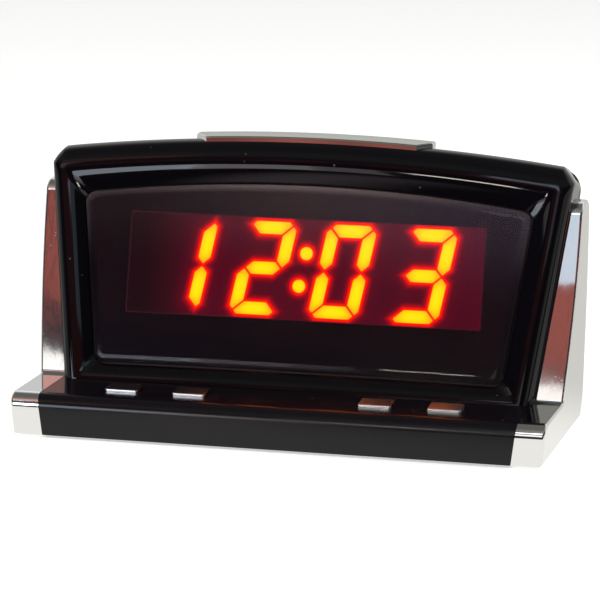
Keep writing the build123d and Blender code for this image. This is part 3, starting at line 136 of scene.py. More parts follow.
white, black = (1.0, 1.0, 1.0), (0.0, 0.0, 0.0)
overhead_dark, front_grey = (0.12, 0.117, 0.108), (0.22, 0.215, 0.195)
front_dark = (0.03, 0.029, 0.036)
behind_pale, behind_bright = (0.60, 0.61, 0.59), (0.85, 0.86, 0.85)
low_pale = (0.62, 0.61, 0.58)
curtain_brown, curtain_fold, folds_scale = (0.36, 0.105, 0.085), (0.17, 0.05, 0.045), 46.0

world = bpy.data.worlds.new("studio")
bpy.context.scene.world = world
world.use_nodes = True
room = world.node_tree
room.nodes.clear()
heading = shader_node(room, "ShaderNodeTexCoord", out="Generated")
aside, ahead, height = (along_axis(heading, axis) for axis in "XYZ")
folds = shader_node(
    room, "ShaderNodeTexNoise", {"noise_dimensions": "1D"},
    {"W": aside, "Scale": folds_scale, "Detail": 2.0}, out="Fac",
)
curtain = folds.ramp(0.38, 0.62).blend(curtain_brown, curtain_fold)
low_sides = height.ramp(0.16, 0.04) * ahead.ramp(-0.92, -0.70)
front_colour = height.ramp(0.35, 0.62).blend(low_sides.blend(front_dark, low_pale), front_grey)
front_colour = height.ramp(0.72, 0.95).blend(front_colour, overhead_dark)
behind_colour = height.ramp(0.28, 0.45).blend(behind_pale, behind_bright)
behind_colour = height.ramp(0.55, 0.90).blend(behind_colour, overhead_dark)
room_colour = ahead.ramp(-0.05, 0.35).blend(front_colour, behind_colour)
hung = ahead.ramp(-0.80, -0.90) * height.ramp(0.262, 0.272) * height.ramp(0.42, 0.37)
room_colour = hung.blend(room_colour, curtain)
seen = shader_node(room, "ShaderNodeLightPath", out="Is Camera Ray")
backdrop = shader_node(room, "ShaderNodeBackground", sockets={"Color": seen.blend(room_colour, white)})
world_end = room.nodes.new("ShaderNodeOutputWorld")
room.links.new(backdrop.socket, world_end.inputs["Surface"])

floor_size = 6.0
sheet_front, sheet_fade = -0.080, -0.094
sheet_white, sheet_behind, table_dark = (0.90, 0.89, 0.85), (0.64, 0.63, 0.59), (0.03, 0.028, 0.034)
table_glint, glint_middle, glint_reach = (0.80, 0.66, 0.72), -0.045, 0.05
floor_colour, floor_glow = (0.86, 0.86, 0.85), (0.55, 0.55, 0.55)
floor_mesh = bpy.data.meshes.new("floor")
corner = floor_size / 2
floor_mesh.from_pydata(
    [(-corner, -corner, 0), (corner, -corner, 0), (corner, corner, 0), (-corner, corner, 0)],
    [], [(0, 1, 2, 3)],
)
floor = bpy.data.objects.new("floor", floor_mesh)
bpy.context.scene.collection.objects.link(floor)
floor_paint = bpy.data.materials.new("floor_white")
floor_paint.use_nodes = True
tree = floor_paint.node_tree
tree.nodes.clear()
seen = shader_node(tree, "ShaderNodeLightPath", out="Is Camera Ray")
mirrored = shader_node(tree, "ShaderNodeLightPath", out="Is Glossy Ray")
passed = shader_node(tree, "ShaderNodeLightPath", out="Is Transmission Ray")
spot = shader_node(tree, "ShaderNodeTexCoord", out="Object")
sideways, forward = along_axis(spot, "X"), along_axis(spot, "Y")
glint = abs(sideways - glint_middle).ramp(glint_reach, 0.0) * forward.ramp(-0.42, -0.12)
table_colour = glint.blend(table_dark, table_glint)
sheet_colour = forward.ramp(0.0, 0.10).blend(sheet_white, sheet_behind)
glow_colour = seen.most(passed).blend(black, floor_glow)
glow = shader_node(tree, "ShaderNodeEmission", sockets={"Color": glow_colour})
matte = shader_node(tree, "ShaderNodeBsdfDiffuse", sockets={"Color": floor_colour})
both = shader_node(tree, "ShaderNodeAddShader", sockets={0: glow, 1: matte})
sheet = shader_node(
    tree, "ShaderNodeEmission",
    sockets={"Color": forward.ramp(sheet_fade, sheet_front).blend(table_colour, sheet_colour)},
)
shown = shader_node(tree, "ShaderNodeMixShader", sockets={"Fac": mirrored, 1: both, 2: sheet})
floor_end = tree.nodes.new("ShaderNodeOutputMaterial")
tree.links.new(shown.socket, floor_end.inputs["Surface"])
floor_mesh.materials.append(floor_paint)


def soft_box(name, place, aim, size, power, colour=white, mirrored_only=False):
    """Rectangular lamp at a place, turned to face a point: it either lights or shows in gloss."""
    data = bpy.data.lights.new(name, "AREA")
    data.shape = "RECTANGLE"
    data.size, data.size_y = size
    data.energy = power
    data.color = colour
    lamp = bpy.data.objects.new(name, data)
    way = np.subtract(place, aim)
    back = way / np.linalg.norm(way)
    side = np.cross((0, 0, 1), back)
    side = side / np.linalg.norm(side)
    rows = np.array((side, np.cross(back, side), back)).T
    lamp.matrix_world = Matrix.Translation(place) @ Matrix(rows.tolist()).to_4x4()
    lamp.visible_glossy = mirrored_only
    lamp.visible_diffuse = not mirrored_only
    bpy.context.scene.collection.objects.link(lamp)


def bright_card(name, place, size, radiance, colour):
    """Card that only gloss shows and that faces the clock. Its power is pi times area times radiance."""
    soft_box(name, place, (0, 0, place[2]), size, radiance * np.pi * size[0] * size[1], colour, True)


soft_box("left_box", (-0.75, -0.75, 1.05), (0, 0, 0.05), (0.55, 0.35), 13.0)
soft_box("right_box", (0.95, 0.25, 0.85), (0, 0, 0.05), (0.35, 0.35), 6.0)
for name, place, size, radiance, colour in (
    ("left_card", (-0.235, -0.40, 0.061), (0.17, 0.102), 6.0, (0.80, 0.88, 1.0)),
    ("middle_card", (-0.128, -0.40, 0.061), (0.05, 0.102), 3.0, (1.0, 0.90, 0.92)),
    ("dim_card", (-0.088, -0.40, 0.061), (0.03, 0.102), 1.5, (1.0, 0.88, 0.94)),
    ("right_card", (-0.036, -0.40, 0.102), (0.046, 0.020), 22.0, (1.0, 0.93, 0.80)),
    ("left_foot_card", (-0.237, -0.40, 0.122), (0.026, 0.026), 1.2, (1.0, 0.98, 0.94)),
    ("right_foot_card", (0.035, -0.40, 0.094), (0.066, 0.078), 1.1, (1.0, 0.97, 0.92)),
    ("left_high_card", (-0.345, -0.40, 0.315), (0.19, 0.100), 0.9, (1.0, 0.99, 0.96)),
    ("right_high_card", (0.068, -0.40, 0.273), (0.112, 0.174), 0.72, (0.45, 0.85, 1.0)),
    ("left_brown_card", (-0.305, -0.40, 0.430), (0.21, 0.150), 0.42, (1.0, 0.28, 0.23)),
    ("far_card", (-0.005, -0.80, 0.455), (0.19, 0.12), 2.4, (0.72, 0.83, 1.0)),
):
    bright_card(name, place, size, radiance, colour)

# Front housing
# One moulding in gloss-black plastic. A crest runs over the top and down both sides. Behind it
# the edge is rounded to the flared sides, and in front a hollow cove slopes down to the lens.
mm = 0.001
face_tilt = np.radians(14.4)
face_foot_y, face_foot_z = -15.3 * mm, 1.0 * mm
base_height = 14.7 * mm
flare_share = 0.13
seat_half = 85.1 * mm
seam_gap = 0.1 * mm
crest_top = 98.4 * mm
top_round, side_round = 8.4 * mm, 4.6 * mm
arch_radius = 740.0 * mm
crest_corner, shoulder_corner, shoulder_flatness = 2.0 * mm, 5.2 * mm, 0.85
housing_depth = 20.0 * mm
housing_wall = 2.0 * mm
cove_depth, cove_land, cove_corner, cove_steps = 2.6 * mm, 0.4 * mm, 1.2 * mm, 31
opening_depth = 4.6 * mm
lens_foot_half = 72.4 * mm
lens_bottom, lens_top = 22.0 * mm, 89.4 * mm
lens_rise = 0.5 * mm
lens_arch_radius = 584.0 * mm
lens_corner = 3.8 * mm
lens_gap = 0.7 * mm
face_flare = flare_share * np.cos(face_tilt)


def on_face(across, up, depth):
    """Points of the clock from face coordinates: across, up the slope, and inwards.

    The slope leans back by the face's tilt, so up and depth are turned about X by that angle.
    """
    y = face_foot_y + up * np.sin(face_tilt) + depth * np.cos(face_tilt)
    z = face_foot_z + up * np.cos(face_tilt) - depth * np.sin(face_tilt)
    return np.stack(np.broadcast_arrays(across, y, z), axis=-1)


def arched_outline(foot_half, bottom, top, radius, corner, foot_corner, rise=0.0, flatness=0.0):
    """Closed outline with flared straight sides under an arch, and rounded corners.

    The shoulder's circle touches the side line and the arch from inside: its centre is where
    the line moved in by the corner's radius meets the arch drawn smaller by that radius. Every
    stretch has a fixed count of points, so that outlines match one another point for point.
    """
    lean = np.hypot(1, face_flare)
    centre = top - radius
    start = -np.arctan(face_flare)
    near = foot_half - corner * lean
    a = face_flare**2 + 1
    b = 2 * (near * face_flare - centre)
    c = near**2 + centre**2 - (radius - corner) ** 2
    hub_up = (-b + np.sqrt(b * b - 4 * a * c)) / (2 * a)
    hub = near + face_flare * hub_up
    finish = np.arctan2(hub_up - centre, hub)
    turn = np.linspace(start, finish, 13)
    shoulder = (hub + corner * np.cos(turn), hub_up + corner * np.sin(turn))
    cut_share = np.linspace(0, 1, len(turn))
    cut = [s[0] + (s[-1] - s[0]) * cut_share for s in shoulder]
    shoulder = tuple(s + (c - s) * flatness for s, c in zip(shoulder, cut))
    swing = np.linspace(finish, np.pi / 2, 49)[1:]
    arch = (radius * np.cos(swing), centre + radius * np.sin(swing))
    heel_up = bottom + foot_corner
    heel = foot_half + face_flare * heel_up - foot_corner * lean
    turn = np.linspace(-np.pi / 2, start, 7)
    foot = (heel + foot_corner * np.cos(turn), heel_up + foot_corner * np.sin(turn))
    share = np.linspace(0, 1, 25)[:-1]
    sill = (foot[0][0] * share, bottom + rise * (1 - share**2))
    side_share = np.linspace(0, 1, 26)[1:-1]
    side = tuple(f[-1] + (s[0] - f[-1]) * side_share for f, s in zip(foot, shoulder))
    right = np.concatenate([np.stack(run, -1) for run in (sill, foot, side, shoulder, arch)])
    left = right[-2:0:-1] * (-1, 1)
    return np.concatenate([right, left])


def new_piece(name, points, faces, sharp_degrees=40.0):
    """Adds a mesh with smooth faces, kept sharp where it turns by more than an angle."""
    mesh = bpy.data.meshes.new(name)
    mesh.from_pydata(np.asarray(points).reshape(-1, 3).tolist(), [], faces)
    mesh.shade_smooth()
    mesh.set_sharp_from_angle(angle=np.radians(sharp_degrees))
    made = bpy.data.objects.new(name, mesh)
    bpy.context.scene.collection.objects.link(made)
    return made


def ring_faces(rings, around=True, closed=False):
    """Four-cornered faces between neighbouring rings of a grid of points."""
    index = np.arange(rings.shape[0] * rings.shape[1]).reshape(rings.shape[:2])
    following = np.roll(index, -1, axis=0)
    corners = (index, np.roll(index, -1, axis=1), np.roll(following, -1, axis=1), following)
    grid = np.stack(corners, axis=-1)
    if not closed:
        grid = grid[:-1]
    if not around:
        grid = grid[:, :-1]
    return grid.reshape(-1, 4).tolist()


def outer_outline(depth, wall=0.0):
    """Housing's outline at a depth behind the crest, down to the base's top.

    The top rises along a quarter circle from the crest to full height, and the sides move out
    along a smaller one. A wall moves the whole outline inwards.
    """
    turn = np.arccos(np.clip(1 - depth / top_round, 0, 1))
    inset = side_round - np.sqrt(side_round**2 - np.clip(side_round - depth, 0, None) ** 2)
    foot_half = seat_half - seam_gap - flare_share * depth * np.sin(face_tilt) - inset - wall
    top = crest_top + top_round * np.sin(turn) - wall
    corner_size = crest_corner + (shoulder_corner - crest_corner) * np.sin(turn)
    bottom = (base_height + depth * np.sin(face_tilt)) / np.cos(face_tilt) + wall
    outline = arched_outline(
        foot_half, bottom, top, arch_radius - wall, corner_size, seam_gap,
        flatness=shoulder_flatness * np.sin(turn),
    )
    return on_face(outline[:, 0], outline[:, 1], depth)


def cove_outline(share, depth):
    """Outline between the crest (share 0) and the lens opening (share 1)."""
    crest = np.array((
        seat_half - side_round - cove_land, base_height / np.cos(face_tilt) + cove_land,
        crest_top - cove_land, arch_radius - top_round - cove_land, cove_corner, cove_corner, lens_rise,
    ))
    opening = np.array((
        lens_foot_half + lens_gap, lens_bottom - lens_gap, lens_top + lens_gap,
        lens_arch_radius + lens_gap, lens_corner + lens_gap, lens_corner + lens_gap, lens_rise,
    ))
    outline = arched_outline(*(crest + (opening - crest) * share))
    return on_face(outline[:, 0], outline[:, 1], depth)


def cove_profile(share):
    """Depth of the cove, as a share of its greatest, from the crest down to the opening.

    It is level with the crest at first, bends over, and falls most steeply at the opening: 1.3
    times the share squared, less 0.3 times the share cubed.
    """
    return 1.3 * share**2 - 0.3 * share**3


edge_turns = np.linspace(np.pi / 2, 0, 19)
back_depths = np.linspace(housing_depth, top_round, 5)[:-1]
edge_depths = top_round * (1 - np.cos(edge_turns))
outer_rings = [outer_outline(d) for d in np.concatenate([back_depths, edge_depths])]
cove_rings = [cove_outline(s, cove_depth * cove_profile(s)) for s in np.linspace(0, 1, cove_steps)]
inner_rings = [cove_outline(1.0, opening_depth), outer_outline(opening_depth, housing_wall)]
inner_rings += [outer_outline(top_round, housing_wall), outer_outline(housing_depth, housing_wall)]
housing_rings = np.array(outer_rings + cove_rings + inner_rings)
housing = new_piece("front_housing", housing_rings, ring_faces(housing_rings, closed=True))
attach(housing, "clock")
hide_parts("front_frame")


def plain_material(name, colour, roughness, metallic=0.0, **constants):
    """Material with one main shader, and its constant values on the shader's own sockets."""
    material = bpy.data.materials.new(name)
    material.use_nodes = True
    tree = material.node_tree
    shader = tree.nodes["Principled BSDF"]
    shader.inputs["Base Color"].default_value = (*colour, 1.0)
    shader.inputs["Roughness"].default_value = roughness
    shader.inputs["Metallic"].default_value = metallic
    for key, value in constants.items():
        shader.inputs[key.replace("_", " ")].default_value = value
    return material, tree, shader


def feed(tree, shader, **fields):
    """Links worked-out values to the shader's sockets."""
    for key, value in fields.items():
        tree.links.new(value.socket, shader.inputs[key.replace("_", " ")])


def place_on(tree):
    """Coordinates of the clock's own frame, in metres."""
    return shader_node(tree, "ShaderNodeTexCoord", out="Object")


def noise(tree, place, scale, detail=3.0):
    """Cloudy pattern of a given scale, per metre."""
    return shader_node(
        tree, "ShaderNodeTexNoise", sockets={"Vector": place, "Scale": scale, "Detail": detail}, out="Fac"
    )


def bumped(tree, height, depth, strength=1.0):
    """Surface normal from a height pattern, with its depth in metres."""
    return shader_node(
        tree, "ShaderNodeBump", sockets={"Height": height, "Distance": depth, "Strength": strength}
    )


dust_grey = (0.09, 0.085, 0.09)


def gloss_plastic(name, colour, roughness=0.045, sheen_level=0.36):
    """Polished moulding: faint waves, a few dust specks and slightly uneven polish."""
    material, tree, shader = plain_material(name, colour, roughness, Specular_IOR_Level=sheen_level)
    place = place_on(tree)
    waves = noise(tree, place, 55.0, 2.0)
    wiped = noise(tree, place, 18.0, 5.0)
    specks = shader_node(
        tree, "ShaderNodeTexVoronoi", {"feature": "F1"}, {"Vector": place, "Scale": 260.0}, out="Distance"
    )
    rare = noise(tree, place, 120.0, 1.0).ramp(0.60, 0.64)
    dust = specks.ramp(0.11, 0.05) * rare
    feed(
        tree, shader,
        Base_Color=dust.blend(colour, dust_grey),
        Roughness=wiped.ramp(0.35, 0.75, roughness, roughness * 1.8) + dust * 0.4,
        Normal=bumped(tree, waves + dust * 0.3, 0.04 * mm, 0.35),
    )
    return material


def finish_node(node, material):
    """Gives a CAD node or a new piece one material."""
    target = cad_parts[node] if isinstance(node, str) else node
    target.data.materials.clear()
    target.data.materials.append(material)


housing_black = gloss_plastic("housing_gloss_black", (0.0026, 0.0020, 0.0034))
finish_node(housing, housing_black)

# Display lens
# A thick pane of smoked red acrylic, polished, with a broad soft edge all round. It is let into
# the housing's opening from behind and stands a little proud of it.
# The pane's colour carries a painted highlight along the top of its soft edge and a painted reflection that
# lightens it towards the top right.
lens_front, lens_back = 0.9 * mm, 5.7 * mm
lens_edge_width, lens_edge_drop = 3.2 * mm, 0.75 * mm
lens_step, corner_follow_share = 0.2 * mm, 0.6
lens_smoke, painted_lens_sheen, painted_rim_highlight = (0.0070, 0.0040, 0.0085), (0.034, 0.029, 0.050), (0.26, 0.195, 0.20)


def lens_outline(inset, depth):
    """Outline of the pane, drawn smaller by an inset, at a depth behind the crest."""
    corner = lens_corner - inset * corner_follow_share
    outline = arched_outline(
        lens_foot_half - inset, lens_bottom + inset, lens_top - inset, lens_arch_radius - inset,
        corner, corner, lens_rise,
    )
    return on_face(outline[:, 0], outline[:, 1], depth)


# The soft edge is a quarter of an ellipse, as wide as the edge and as deep as its drop.
edge_share = np.sin(np.linspace(0, np.pi / 2, 17))
edge_drops = lens_edge_drop * (1 - np.sqrt(1 - (1 - edge_share) ** 2))
lens_rings = np.array(
    [lens_outline(0.0, d) for d in (lens_back, lens_front + lens_edge_drop + lens_step)]
    + [lens_outline(lens_edge_width * s, lens_front + d) for s, d in zip(edge_share, edge_drops)]
)


def end_faces(rings):
    """Flat faces that close the first and the last ring, both facing away from the rest."""
    count = rings.shape[1]
    last = count * (len(rings) - 1)
    return [list(range(count))[::-1], list(range(last, last + count))]


lens = new_piece("smoked_lens", lens_rings, ring_faces(lens_rings) + end_faces(lens_rings))
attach(lens, "clock")
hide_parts("display_lens")


def store_layer(piece, name, values):
    """Keeps one number for each point of a piece."""
    layer = piece.data.attributes.new(name, "FLOAT", "POINT")
    layer.data.foreach_set("value", values.astype(np.float32).ravel())


rim_distances = np.concatenate([[0.0, 0.0], lens_edge_width * edge_share])
lens_up = (lens_rings[..., 2] - face_foot_z) / np.cos(face_tilt)
store_layer(lens, "rim_distance", np.broadcast_to(rim_distances[:, None], lens_up.shape) / mm)
store_layer(lens, "lens_up", lens_up / mm)
lens_material, tree, lens_shader = plain_material(
    "smoked_lens", lens_smoke, 0.03, Alpha=0.52, Specular_IOR_Level=0.32
)
place = place_on(tree)


def layer_value(tree, name):
    """The number that store_layer kept for the points, under its name."""
    return shader_node(tree, "ShaderNodeAttribute", {"attribute_name": name}, out="Fac")


sideways, upwards = along_axis(place, "X"), layer_value(tree, "lens_up")
rim_share = layer_value(tree, "rim_distance").ramp(lens_edge_width / mm, 0.2)
# Painted highlight: a pale colour along the top of the soft edge, strongest in the middle, in place of
# light caught there.
painted_rim_highlight_share = rim_share * upwards.ramp(56.0, 84.0) * abs(sideways).ramp(0.075, 0.0, 0.30, 1.0)
# Painted reflection: the pane's colour lightens towards its top right.
painted_sheen_share = upwards.ramp(42.0, 88.0) * sideways.ramp(-0.02, 0.07)
lens_colour = painted_sheen_share.blend(lens_smoke, painted_lens_sheen)
feed(
    tree, lens_shader,
    Base_Color=painted_rim_highlight_share.blend(lens_colour, painted_rim_highlight),
    Roughness=noise(tree, place, 22.0, 4.0).ramp(0.35, 0.75, 0.015, 0.04) + rim_share * 0.14,
    Normal=bumped(tree, noise(tree, place, 30.0, 1.0), 0.03 * mm, 0.3),
)
finish_node(lens, lens_material)

# Display module
# Four slanted digits of seven bars each and two dots between them, in a black module behind
# the lens. A red diffuser film lies over its face and glows with the lit bars; round them it carries a
# painted halo, over the window a faint painted glow, and along the window's edge a thin painted glow.
module_middle, module_width, module_height = 59.4 * mm, 131.8 * mm, 36.7 * mm
film_depth = 5.95 * mm
film_half, film_low, film_high = 84.0 * mm, 20.5 * mm, 90.5 * mm
film_margin, film_cells = 2.0 * mm, 8
film_step = 0.36 * mm
digit_height, digit_width, digit_pitch = 34.0 * mm, 18.3 * mm, 29.6 * mm
digit_shift = -0.47 * mm
digit_slant = np.radians(9.9)
bar_width, bar_chamfer, bar_gap = 4.6 * mm, 3.0 * mm, 0.64 * mm
dot_radius, dot_spacing = 2.4 * mm, 11.9 * mm
shown_time = "1203"
bars_lit = {"0": "abcdef", "1": "bc", "2": "abged", "3": "abgcd"}


def bar_corners():
    """Corner points of the seven bars of an upright digit, by letter."""
    outer, top = digit_width / 2, digit_height / 2
    inner, middle, under, half = outer - bar_width, outer - bar_width / 2, top - bar_width, bar_width / 2
    split = bar_gap / np.sqrt(2)
    near, far = (bar_chamfer + split) / 2, (bar_chamfer - split) / 2
    level = np.array((
        (bar_chamfer - outer, top), (outer - bar_chamfer, top), (outer - near, top - far),
        (inner - split, under), (split - inner, under), (near - outer, top - far),
    ))
    post = np.array((
        (outer - far, top - near), (outer, top - bar_chamfer), (outer, half + split),
        (middle, split), (inner, half + split), (inner, under - split),
    ))
    bridge = np.array((
        (middle - split, 0), (inner - split, half), (split - inner, half),
        (split - middle, 0), (split - inner, -half), (inner - split, -half),
    ))
    down, left = (1, -1), (-1, 1)
    return {
        "a": level, "b": post, "c": post * down, "d": level * down,
        "e": post * (-1, -1), "f": post * left, "g": bridge,
    }


def past_edges(points, corners):
    """Distance of points past the farthest edge line of a convex outline: below 0 inside."""
    ends = np.roll(corners, -1, axis=0)
    run = ends - corners
    normal = np.stack((run[:, 1], -run[:, 0]), -1) / np.linalg.norm(run, axis=1)[:, None]
    side = np.sign(np.sum((corners - corners.mean(0)) * normal, axis=1))
    normal = normal * side[:, None]
    return np.max(np.einsum("...j,kj->...k", points, normal) - np.sum(corners * normal, axis=1), axis=-1)


def bar_glow(points, lit):
    """Least distance to the lit or unlit bars, and how far along its own bar a point lies."""
    least = np.full(points.shape[:-1], 1.0)
    along = np.zeros(points.shape[:-1])
    for place, digit in enumerate(shown_time):
        centre = (place - (len(shown_time) - 1) / 2) * digit_pitch
        for letter, corners in bar_corners().items():
            if (letter in bars_lit[digit]) != lit:
                continue
            moved = corners + (centre, 0)
            distance = past_edges(points, moved)
            half_length = np.abs(corners - corners.mean(0)).max()
            reach = np.linalg.norm(points - moved.mean(0), axis=-1) / half_length
            along = np.where(distance < least, reach, along)
            least = np.minimum(least, distance)
    return least, along


def film_places(low, high, low_edge, high_edge):
    """Places along one side of the film: close together over the window, and a few beyond it."""
    dense = np.linspace(low, high, int((high - low) / film_step))
    return np.concatenate([
        np.linspace(low_edge, low, film_cells)[:-1], dense, np.linspace(high, high_edge, film_cells)[1:]
    ])


window_half, window_up = module_width / 2 + film_margin, module_height / 2 + film_margin
film_across = film_places(-window_half, window_half, -film_half, film_half)
film_up = film_places(-window_up, window_up, film_low - module_middle, film_high - module_middle)
across, up = np.meshgrid(film_across, film_up)
upright = np.stack((across - digit_shift - up * np.tan(digit_slant), up), -1)
lit_distance, lit_along = bar_glow(upright, True)
for side in (-1, 1):
    dot = (digit_shift + side * dot_spacing / 2 * np.tan(digit_slant), side * dot_spacing / 2)
    from_dot = np.linalg.norm(np.stack((across, up), -1) - dot, axis=-1)
    lit_along = np.where(from_dot - dot_radius < lit_distance, from_dot / dot_radius * 0.5, lit_along)
    lit_distance = np.minimum(lit_distance, from_dot - dot_radius)
film_points = on_face(across, module_middle + up, film_depth)
film = new_piece("diffuser_film", film_points, ring_faces(film_points, around=False))
for name, values in (
    ("lit_distance", lit_distance / mm), ("lit_along", lit_along),
    ("film_across", across / mm), ("film_up", up / mm),
):
    store_layer(film, name, values)
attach(film, "clock")

core_yellow, end_orange, rim_red = (1.0, 0.26, 0.0), (1.0, 0.113, 0.0), (0.333, 0.0013, 0.0)
halo_red, painted_halo_outer = (0.133, 0.0, 0.0013), (0.0283, 0.0, 0.002)
painted_window_glow_left, painted_window_glow, painted_edge_glow_colour = (0.0021, 0.0001, 0.0003), (0.0200, 0.0, 0.0023), (0.0120, 0.0022, 0.0024)
film_material, tree, film_shader = plain_material(
    "diffuser_film", (0.02, 0.003, 0.006), 0.5, Emission_Strength=13.8
)
distance, sideways = layer_value(tree, "lit_distance"), layer_value(tree, "film_across")
shaded = distance.ramp(-1.9, -0.3) * 0.35 + layer_value(tree, "lit_along").ramp(0.25, 1.05) * 0.6
glow_colour = shaded.blend(core_yellow, end_orange)
glow_colour = distance.ramp(-0.2, 0.12).blend(glow_colour, rim_red)
# Painted glow: a red halo round the lit bars, fading to a dark wine colour, stands in for their bloom.
glow_colour = distance.ramp(0.45, 1.5).blend(glow_colour, halo_red)
glow_colour = distance.ramp(0.9, 3.0).blend(glow_colour, painted_halo_outer)
# Painted glow: a faint red glow over the rest of the window, weaker at its left.
painted_window_glow_colour = sideways.ramp(-62.0, -34.0).blend(painted_window_glow_left, painted_window_glow)
glow_colour = distance.ramp(1.8, 7.0).blend(glow_colour, painted_window_glow_colour)
outside = (abs(sideways) - module_width / 2 / mm).most(
    abs(layer_value(tree, "film_up")) - module_height / 2 / mm
)
glow_colour = outside.ramp(-0.1, 0.1).blend(glow_colour, black)
# Painted glow: a thin glow along the window's edge, stronger at its left.
painted_edge_glow_share = abs(outside).ramp(0.35, 0.1) * sideways.ramp(20.0, -60.0, 0.20, 0.8)
glow_colour = painted_edge_glow_share.blend(glow_colour, painted_edge_glow_colour)
feed(tree, film_shader, Emission_Color=glow_colour)
finish_node(film, film_material)

module_black, tree, shader = plain_material("module_black", (0.012, 0.006, 0.008), 0.45)
feed(tree, shader, Normal=bumped(tree, noise(tree, place_on(tree), 900.0), 0.02 * mm, 0.4))
finish_node("display_reflector", module_black)
led_bar, tree, shader = plain_material("lit_light_pipe", (0.9, 0.25, 0.02), 0.3, Emission_Strength=1.0)
warmth = noise(tree, place_on(tree), 300.0).ramp(0.3, 0.7)
feed(tree, shader, Emission_Color=warmth.blend((1.0, 0.35, 0.0), (1.0, 0.6, 0.0)))
finish_node("lit_segments", led_bar)
finish_node("colon_dots", led_bar)
dark_bar, tree, shader = plain_material("unlit_light_pipe", (0.10, 0.01, 0.012), 0.3)
feed(tree, shader, Roughness=noise(tree, place_on(tree), 500.0).ramp(0.3, 0.7, 0.25, 0.4))
finish_node("unlit_segments", dark_bar)

# Snooze bar
# A plated plastic cap that follows the arch, polished on its front edge and satin on top. Its
# two front corners are cut off, and its skirt goes down through a slot in the housing.
cap_half, cap_front_half = 44.0 * mm, 39.0 * mm
cap_front, cap_back = 3.3 * mm, 13.4 * mm
cap_brow, cap_skirt_foot = 106.95 * mm, 102.2 * mm
cap_crown_radius, cap_crown_slope = 36.0 * mm, np.radians(24.4)
cap_edge, cap_straight = 0.5 * mm, 0.2 * mm


def cap_points(across):
    """Points of the bar at places across the clock, one closed ring round the bar for each.

    A ring goes up the front, over an edge rounded to a quarter circle, back over a crown that is
    an arc of a circle, and down the back. All heights turn with the arch: the height at the
    middle is the radius of a circle about the arch's centre. The front steps back by as much as
    a place lies past the cut corner, and the top falls away in a quarter circle at the ends.
    """
    turn = np.linspace(0, np.pi / 2, 7)
    front = cap_front + np.clip(np.abs(across) - cap_front_half, 0, None)[:, None]
    past = np.clip(np.abs(across) - (cap_half - cap_edge), 0, cap_edge)
    end_drop = (cap_edge - np.sqrt(cap_edge**2 - past**2))[:, None]
    rounded_in, rounded_down = cap_edge * (1 - np.cos(turn)), cap_edge * (1 - np.sin(turn))
    share = np.linspace(0, 1, 15)[1:-1]
    over = front + cap_edge + (cap_back - front - 2 * cap_edge) * share
    back = np.broadcast_to(cap_back, front.shape)
    edges = (front + rounded_in, back - rounded_in[::-1])
    depth = np.concatenate([front, front, edges[0], over, edges[1], back, back], axis=1)
    straight_down = [0, cap_edge + cap_straight]
    drop = np.concatenate([straight_down, rounded_down, 0 * share, rounded_down[::-1], straight_down[::-1]])
    centre_depth = cap_front + cap_crown_radius * np.sin(cap_crown_slope)
    centre_up = cap_brow - cap_crown_radius * np.cos(cap_crown_slope)
    up = centre_up + np.sqrt(cap_crown_radius**2 - (depth - centre_depth) ** 2) - drop - end_drop
    up[:, [0, -1]] = cap_skirt_foot
    arch_centre = crest_top + top_round - arch_radius
    up = arch_centre + np.sqrt((up - arch_centre) ** 2 - across[:, None] ** 2)
    return on_face(across[:, None], up, depth)


cap_side = np.concatenate([
    np.linspace(0, cap_front_half, 31)[:-1], np.linspace(cap_front_half, cap_half - cap_edge, 5)[:-1],
    cap_half - cap_edge * (1 - np.sin(np.linspace(0, np.pi / 2, 7))),
])
cap_rings = cap_points(np.concatenate([cap_side[:0:-1], -cap_side]))
snooze_cap = new_piece("snooze_cap", cap_rings, ring_faces(cap_rings) + end_faces(cap_rings))
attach(snooze_cap, "snooze")
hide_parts("snooze_bar")
bar_plating, tree, shader = plain_material("bar_satin_plating", (0.62, 0.62, 0.58), 0.12, metallic=1.0)
place = place_on(tree)
upwards = along_axis(shader_node(tree, "ShaderNodeNewGeometry", out="Normal"), "Z").ramp(0.75, 0.93)
grain = noise(tree, place, 2600.0, 2.0)
feed(
    tree, shader,
    Base_Color=upwards.blend((0.80, 0.80, 0.80), (0.60, 0.60, 0.55)),
    Roughness=upwards.ramp(0.0, 1.0, 0.06, 0.30),
    Normal=bumped(tree, grain * upwards + noise(tree, place, 90.0, 2.0), 0.02 * mm, 0.25),
)
finish_node(snooze_cap, bar_plating)

# Base
# A low moulded shell in gloss black, open underneath. A plate with a fine grain closes it from
# below and is held by four screws.
base_black = gloss_plastic("base_gloss_black", (0.0050, 0.0038, 0.0060), 0.15)
finish_node("base_shell", base_black)


def grained_plastic(name, colour, roughness=0.5, scale=1500.0, depth=0.03 * mm):
    """Fine-grained moulding."""
    material, tree, shader = plain_material(name, colour, roughness)
    place = place_on(tree)
    grain = noise(tree, place, scale, 4.0)
    pale = tuple(min(1.0, c * 1.5 + 0.004) for c in colour)
    feed(
        tree, shader,
        Base_Color=noise(tree, place, 40.0, 4.0).ramp(0.3, 0.7).blend(colour, pale),
        Roughness=grain.ramp(0.3, 0.7, roughness * 0.85, roughness * 1.15),
        Normal=bumped(tree, grain, depth, 0.6),
    )
    return material


plate_black = grained_plastic("plate_grained_black", (0.018, 0.018, 0.019))
finish_node("base_plate", plate_black)

